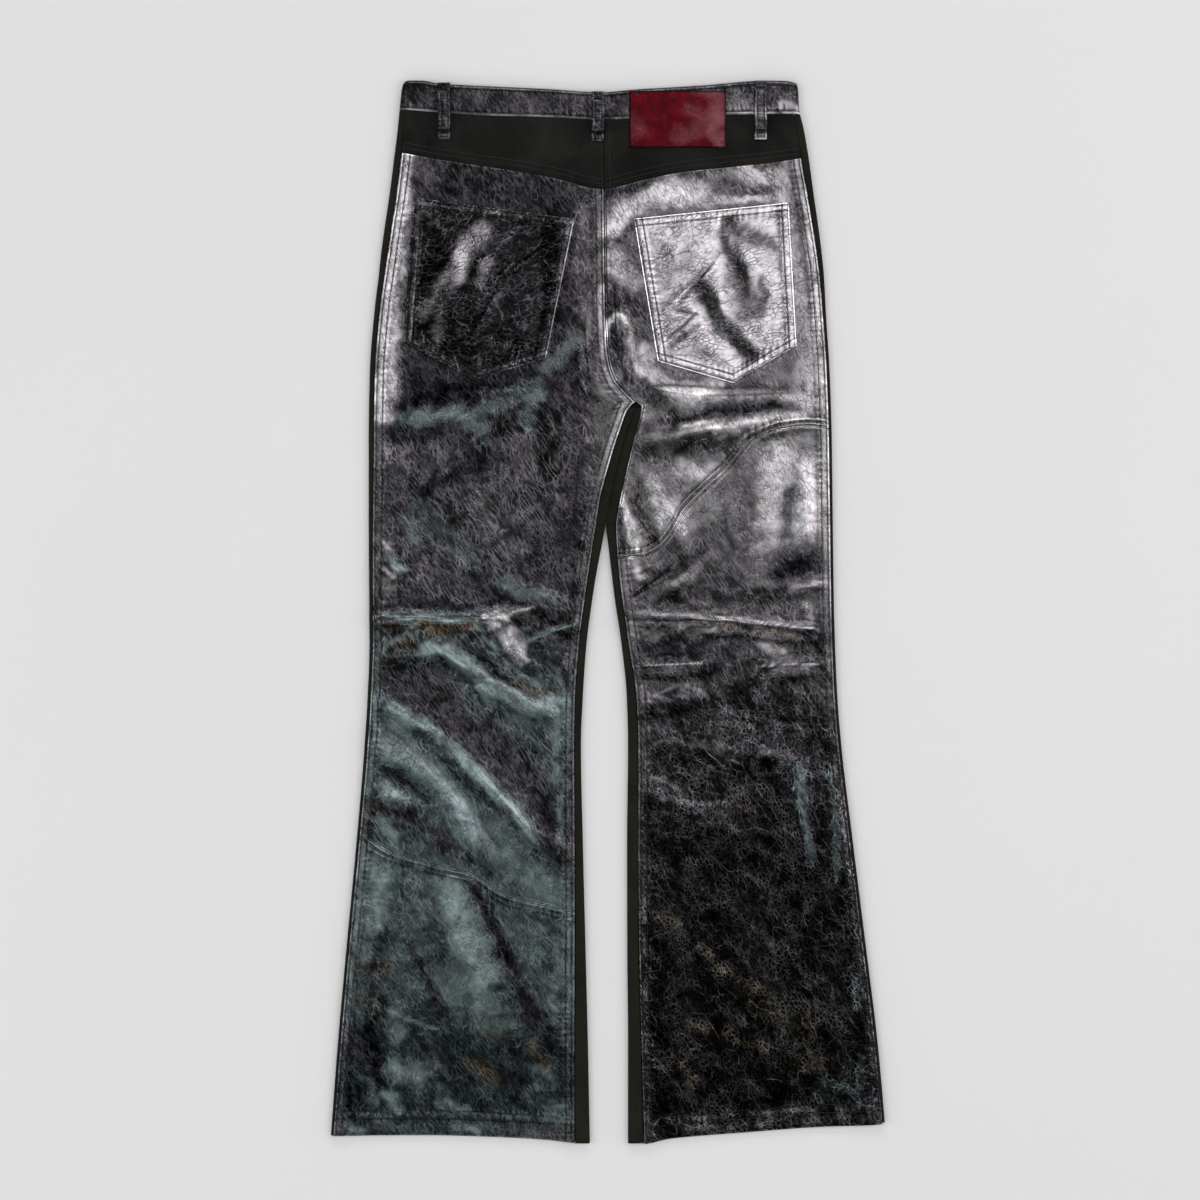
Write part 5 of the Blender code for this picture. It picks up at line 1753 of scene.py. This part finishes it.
# %% an empty group with named sockets
def new_group(name, inputs, outputs):
    tree = bpy.data.node_groups.new(name, "ShaderNodeTree")
    for label, value in inputs.items():
        kind = "NodeSocketVector" if value is None else "NodeSocketFloat"
        socket = tree.interface.new_socket(name=label, in_out="INPUT", socket_type=kind)
        if value is not None:
            socket.default_value = value
    for label in outputs:
        tree.interface.new_socket(name=label, in_out="OUTPUT", socket_type="NodeSocketFloat")
    nodes = Nodes(tree)
    source = tree.nodes.new("NodeGroupInput")
    target = tree.nodes.new("NodeGroupOutput")
    return tree, nodes, source.outputs, target.inputs


# %% cracked grain of a hide
grain, nodes, given, result = new_group(
    "cracked grain",
    {"Vector": None, "Turn": 0.95, "Stretch": 0.55, "Cells": 150.0, "Crack Depth": 0.22,
     "Hairs": 420.0, "Hair Depth": 0.10, "Lump Depth": 0.25, "Pebble Depth": 0.01, "Crackle": 0.0},
    ("Height", "Cracks", "Hairs", "Mottle"))
turned = nodes.rotated(given["Vector"], given["Turn"])
squeeze = nodes.add("ShaderNodeCombineXYZ", {"X": given["Stretch"], "Y": 1.0, "Z": 1.0}).outputs[0]
laid = nodes.vector("MULTIPLY", turned, squeeze)
wander = nodes.vector("SUBTRACT", nodes.noise(laid, 55.0, 3.0, out="Color"), (0.5, 0.5, 0.5))
wander = nodes.scaled(wander, 0.010)
shiver = nodes.scaled(nodes.noise(laid, 420.0, 1.0, out="Color"), 0.0010)
bent = nodes.vector("ADD", nodes.vector("ADD", laid, wander), shiver)
along = nodes.vector("ADD", laid, nodes.scaled(wander, 0.5))


def net(scale, width, spread, detail, *shares):
    """A net of cracks that comes and goes over the hide."""
    mask = nodes.ramp(nodes.noise(laid, spread, detail), *shares)
    return nodes.times(nodes.cell_edges(bent, nodes.times(given["Cells"], scale), width), mask)


def strands(turn, scale, squeeze, width, spread, detail, *shares):
    """Long thin cells, so that their edges read as fine creases that run one way."""
    field = nodes.vector("MULTIPLY", nodes.rotated(along, turn), (squeeze, 1.0, 1.0))
    mask = nodes.ramp(nodes.noise(laid, spread, detail), *shares)
    return nodes.times(nodes.cell_edges(field, nodes.times(given["Hairs"], scale), width), mask)


cracks = nodes.largest(net(0.36, 0.022, 75.0, 2.0, 0.40, 0.60, 0.0, 0.7),
                       net(1.0, 0.05, 95.0, 3.0, 0.44, 0.60, 0.0, 0.6),
                       net(2.3, 0.12, 60.0, 4.0, 0.42, 0.62, 0.12, 0.62))
strand = nodes.largest(strands(0.0, 0.62, 0.34, 0.14, 120.0, 2.0, 0.36, 0.58, 0.06, 1.0),
                       strands(0.85, 0.5, 0.4, 0.12, 90.0, 2.0, 0.44, 0.60),
                       strands(0.3, 1.15, 0.5, 0.2, 60.0, 3.0, 0.40, 0.62, 0.1, 0.6))
hair = nodes.times(strand, nodes.math("MULTIPLY_ADD", given["Crackle"], -0.5, 1.0))
lumps = nodes.noise(given["Vector"], 70.0, 2.0, 0.55)
pebble = nodes.noise(given["Vector"], 900.0, 1.0)
height = nodes.times(cracks, nodes.times(given["Crack Depth"], -1.0))
for pattern, depth in ((hair, nodes.times(given["Hair Depth"], -1.0)),
                       (lumps, given["Lump Depth"]), (pebble, given["Pebble Depth"])):
    height = nodes.math("MULTIPLY_ADD", pattern, depth, height)
for label, value in dict(Height=height, Cracks=cracks, Hairs=strand, Mottle=lumps).items():
    grain.links.new(value, result[label])
print("group", grain.name, len(grain.nodes), "nodes")

# %% nap of suede
nap, nodes, given, result = new_group(
    "suede nap", {"Vector": None, "Fibres": 1100.0, "Clouds": 20.0, "Depth": 0.12},
    ("Height", "Clouds", "Fibres"))
fibres = nodes.noise(given["Vector"], given["Fibres"], 3.0, 0.7)
clouds = nodes.noise(given["Vector"], given["Clouds"], 4.0, 0.6, 0.8)
brushed = nodes.noise(given["Vector"], nodes.times(given["Clouds"], 9.0), 2.0)
height = nodes.math("MULTIPLY_ADD", brushed, given["Depth"], nodes.times(fibres, given["Depth"]))
for label, value in dict(Height=height, Clouds=clouds, Fibres=fibres).items():
    nap.links.new(value, result[label])
print("group", nap.name, len(nap.nodes), "nodes")

# %% [markdown]
# The finishes
#
# Glossy leather is a dark hide that reflects like a weak mirror: here it is metallic, with a
# thin clear coat, and its colour is the one painted on its points, with its painted
# reflections, highlights and shade. Fine creases and cracks are painted paler, as glints,
# where that colour is dark, and darker, as shade, where it is bright. Suede is rough and only
# scatters light.

# %% what every material needs
class Finish(Nodes):
    """A new material with its shader, and the place of each point on the piece."""

    def __init__(self, name, rough=0.5):
        self.material = bpy.data.materials.new(name)
        self.material.use_nodes = True
        super().__init__(self.material.node_tree)
        self.shader = self.tree.nodes["Principled BSDF"]
        self.place = self.add("ShaderNodeTexCoord").outputs["Object"]
        self.set("Roughness", rough)

    def set(self, label, value):
        if isinstance(value, bpy.types.NodeSocket):
            self.tree.links.new(value, self.shader.inputs[label])
        else:
            self.shader.inputs[label].default_value = value

    def use(self, group, values):
        return self.add("ShaderNodeGroup", {"Vector": self.place, **values},
                        node_tree=group).outputs

    def bump(self, height):
        self.set("Normal", self.add("ShaderNodeBump", {"Height": height, "Distance": MM,
                                                       "Strength": 1.0}).outputs["Normal"])


# %% glossy leather
def fine_lines(finish, skin, grey, crackle):
    """How much the creases and cracks brighten a dark colour of this grey with painted glints, and
    darken a bright one with painted shade.
    """
    bright = finish.ramp(grey, 0.03, 0.36)
    paler = finish.ramp(grey, 0.045, 0.16, 1.0, 0.20)
    low = finish.ramp(bright, 0.0, 0.6, 0.42, 1.18)
    high = finish.times(finish.ramp(grey, 0.006, 0.06, 8.0, 2.9), paler)
    hairy = finish.times(finish.ramp(skin["Hairs"], 0.0, 1.0, low, high),
                         finish.ramp(skin["Cracks"], 0.0, 0.6, 1.08, 0.5))
    ground = finish.ramp(bright, 0.0, 1.0, 0.45, 1.14)
    line = finish.times(finish.ramp(grey, 0.006, 0.05, 14.0, 2.4), paler)
    faint = finish.ramp(bright, 0.0, 1.0, 3.0, 0.8)
    netted = finish.times(finish.ramp(skin["Cracks"], 0.0, 1.0, ground, line),
                          finish.ramp(skin["Hairs"], 0.0, 1.0, 0.8, faint))
    share = finish.add("ShaderNodeMix", {"Factor": crackle, 2: hairy, 3: netted}).outputs[0]
    return finish.times(share, finish.ramp(skin["Mottle"], 0.3, 0.7, 0.62, 1.38))


def shiny_leather(name, rough, metallic, coat, contrast, **sizes):
    finish = Finish(name)
    film = finish.add("ShaderNodeVertexColor", layer_name="film").outputs
    sizes = {label.replace("_", " "): value for label, value in sizes.items()}
    skin = finish.use(grain, {"Crackle": film["Alpha"], **sizes})
    grey = finish.add("ShaderNodeRGBToBW", {"Color": film["Color"]}).outputs[0]
    share = finish.math("SUBTRACT", fine_lines(finish, skin, grey, film["Alpha"]), 1.0)
    share = finish.math("MULTIPLY_ADD", share, contrast, 1.0)
    # the colour is the painted one of the points, with painted glints and shade on the fine lines
    finish.set("Base Color", finish.scaled(film["Color"], share))
    finish.set("Roughness", finish.ramp(skin["Mottle"], 0.3, 0.7, *rough))
    finish.set("Metallic", metallic)
    finish.set("Coat Weight", coat)
    finish.set("Coat Roughness", 0.16)
    finish.bump(skin["Height"])
    return finish


back_leather = shiny_leather("back leather", (0.24, 0.36), 1.0, 0.03, 1.0, Cells=135.0,
                             Crack_Depth=0.16, Hairs=460.0, Hair_Depth=0.10, Lump_Depth=0.5,
                             Stretch=0.62)
pocket_leather = shiny_leather("pocket leather", (0.2, 0.3), 1.0, 0.03, 1.0, Cells=105.0,
                               Crack_Depth=0.18, Hairs=420.0, Hair_Depth=0.05, Lump_Depth=0.4,
                               Turn=-0.4)
band_leather = shiny_leather("band leather", (0.26, 0.36), 1.0, 0.03, 1.0, Cells=330.0,
                             Crack_Depth=0.06, Hairs=400.0, Hair_Depth=0.04, Lump_Depth=0.3,
                             Stretch=0.8)
red_leather = shiny_leather("red leather", (0.4, 0.5), 0.0, 0.0, 0.28, Cells=420.0,
                            Crack_Depth=0.10, Hairs=700.0, Hair_Depth=0.04, Lump_Depth=0.2,
                            Stretch=0.85)
red_leather.set("Specular IOR Level", 0.06)


# %% suede, thread and metal
def suede_finish(name, dark, light):
    finish = Finish(name, 0.95)
    skin = finish.use(nap, {})
    fibres = finish.math("SUBTRACT", skin["Fibres"], 0.5)
    mottle = finish.math("MULTIPLY_ADD", fibres, 0.8, skin["Clouds"])
    finish.set("Base Color", finish.between(finish.ramp(mottle, 0.3, 0.72), dark, light))
    finish.set("Specular IOR Level", 0.2)
    finish.bump(skin["Height"])
    return finish


def thread_finish(name, colour):
    finish = Finish(name)
    twist = finish.add("ShaderNodeTexWave", {"Vector": finish.place, "Scale": 900.0,
                                             "Distortion": 2.0},
                       bands_direction="DIAGONAL").outputs["Fac"]
    finish.set("Base Color", finish.between(twist, [0.6 * part for part in colour], colour))
    finish.bump(finish.times(twist, 0.06))
    return finish


front_suede = suede_finish("front suede", (0.005, 0.0055, 0.0035), (0.013, 0.014, 0.008))
yoke_suede = suede_finish("yoke suede", (0.0012, 0.0013, 0.0011), (0.0135, 0.014, 0.0122))
dark_thread = thread_finish("dark thread", (0.014, 0.013, 0.014))
olive_thread = thread_finish("olive thread", (0.016, 0.017, 0.013))

button_metal = Finish("button metal")
scuffs = button_metal.noise(button_metal.place, 600.0, 3.0)
button_metal.set("Metallic", 1.0)
button_metal.set("Base Color", button_metal.between(scuffs, (0.22, 0.21, 0.2), (0.5, 0.48, 0.45)))
button_metal.set("Roughness", button_metal.ramp(scuffs, 0.3, 0.7, 0.22, 0.5))
button_metal.bump(button_metal.times(scuffs, 0.03))
print("materials", len(bpy.data.materials))

# %% [markdown]
# Dressing
#
# Each piece takes the finish of its kind and rides on the one body of the garment.

# %% dress every piece
# the first name that a piece starts with gives its finish
LOOKS = (("front", front_suede), ("crotch", front_suede), ("fly", front_suede),
         ("yoke", yoke_suede), ("pocket", pocket_leather), ("waist_patch", red_leather),
         ("stitches_yoke", olive_thread), ("stitches", dark_thread),
         ("waistband", band_leather), ("loop", band_leather), ("back", back_leather))
for name, thing in pieces.items():
    look = next(finish for start, finish in LOOKS if name.startswith(start))
    thing.data.materials.append(look.material)
    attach(thing, "root")
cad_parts["waist_button"].material_slots[0].material = button_metal.material

# %% [markdown]
# Table, light and camera
#
# The garment lies on a plain pale sheet of paper. Wide soft lamps all round it keep the shadows
# faint, and two weaker ones above put the broad shine on the folds. The camera looks straight
# down.

# %% the paper floor
paper = Finish("paper floor", 0.95)
tone = paper.noise(paper.place, 3.0, 2.0)
paper.set("Base Color", paper.between(tone, (0.79, 0.79, 0.79), (0.81, 0.81, 0.81)))
paper.set("Specular IOR Level", 0.1)
FLOOR_HALF, FLOOR_DROP = 6.0, -0.0004
corners = [(x * FLOOR_HALF, y * FLOOR_HALF, FLOOR_DROP) for x, y in
           ((-1, -1), (1, -1), (1, 1), (-1, 1))]
floor_mesh = bpy.data.meshes.new("floor")
floor_mesh.from_pydata(corners, [], [(0, 1, 2, 3)])
floor = bpy.data.objects.new("floor", floor_mesh)
bpy.context.scene.collection.objects.link(floor)
floor.data.materials.append(paper.material)


# %% soft lights
def soft_light(name, place, aim, size, radiance, colour):
    light = bpy.data.lights.new(name, "AREA")
    light.shape = "RECTANGLE"
    light.size, light.size_y = size
    light.energy = radiance * math.pi * size[0] * size[1]
    light.color = colour
    lamp = bpy.data.objects.new(name, light)
    lamp.location = place
    lamp.rotation_euler = (Vector(aim) - Vector(place)).to_track_quat("-Z", "Y").to_euler()
    bpy.context.scene.collection.objects.link(lamp)


LIGHTS = (
    ("over_right", (0.80, 0.85, 3.4), (0.1, 0.1, 0), (2.0, 1.7), 2.2, (1.0, 0.96, 0.985)),
    ("over_left", (-1.0, -0.75, 3.2), (-0.1, -0.2, 0), (1.5, 1.6), 1.2, (0.94, 1.0, 0.99)),
    ("side_left", (-2.8, -0.3, 1.75), (0, 0, 0), (1.5, 3.2), 3.35, (0.97, 0.99, 0.99)),
    ("side_right", (2.8, 0.0, 1.75), (0, 0, 0), (1.5, 3.2), 3.35, (1.0, 0.97, 0.975)),
    ("side_top", (0.0, 3.0, 1.75), (0, 0, 0), (3.2, 1.5), 2.9, (1.0, 0.985, 0.985)),
    ("side_low", (0.0, -3.0, 1.75), (0, 0, 0), (3.2, 1.5), 2.45, (1.0, 0.985, 0.985)),
)
for row in LIGHTS:
    soft_light(*row)
print("lights", len(LIGHTS))

# %% a dim room that the camera sees as pale
world = bpy.data.worlds.new("studio")
world.use_nodes = True
tree = world.node_tree
dim = tree.nodes["Background"]
seen = tree.nodes.new("ShaderNodeBackground")
for background, grey, strength in ((dim, 0.8, 0.02), (seen, 0.74, 1.0)):
    background.inputs["Color"].default_value = (grey, grey, grey, 1.0)
    background.inputs["Strength"].default_value = strength
choose = tree.nodes.new("ShaderNodeMixShader")
ray = tree.nodes.new("ShaderNodeLightPath")
for source, target in ((ray.outputs["Is Camera Ray"], choose.inputs[0]),
                       (dim.outputs[0], choose.inputs[1]), (seen.outputs[0], choose.inputs[2]),
                       (choose.outputs[0], tree.nodes["World Output"].inputs["Surface"])):
    tree.links.new(source, target)
bpy.context.scene.world = world
bpy.context.scene.view_settings.view_transform = "Standard"

# %% camera, straight above
LENS, SENSOR, VIEW_WIDTH = 85.0, 36.0, 1.224
CAMERA_PLACE = (-8.16, 11.73)
camera_data = bpy.data.cameras.new("camera")
camera_data.lens, camera_data.sensor_width = LENS, SENSOR
camera = bpy.data.objects.new("camera", camera_data)
camera.location = (*((CAMERA_PLACE[i] + SHIFT[i]) * MM for i in (0, 1)),
                   VIEW_WIDTH * LENS / SENSOR)
bpy.context.scene.collection.objects.link(camera)
bpy.context.scene.camera = camera
print("camera height, m", round(camera.location.z, 3))

# %% [markdown]
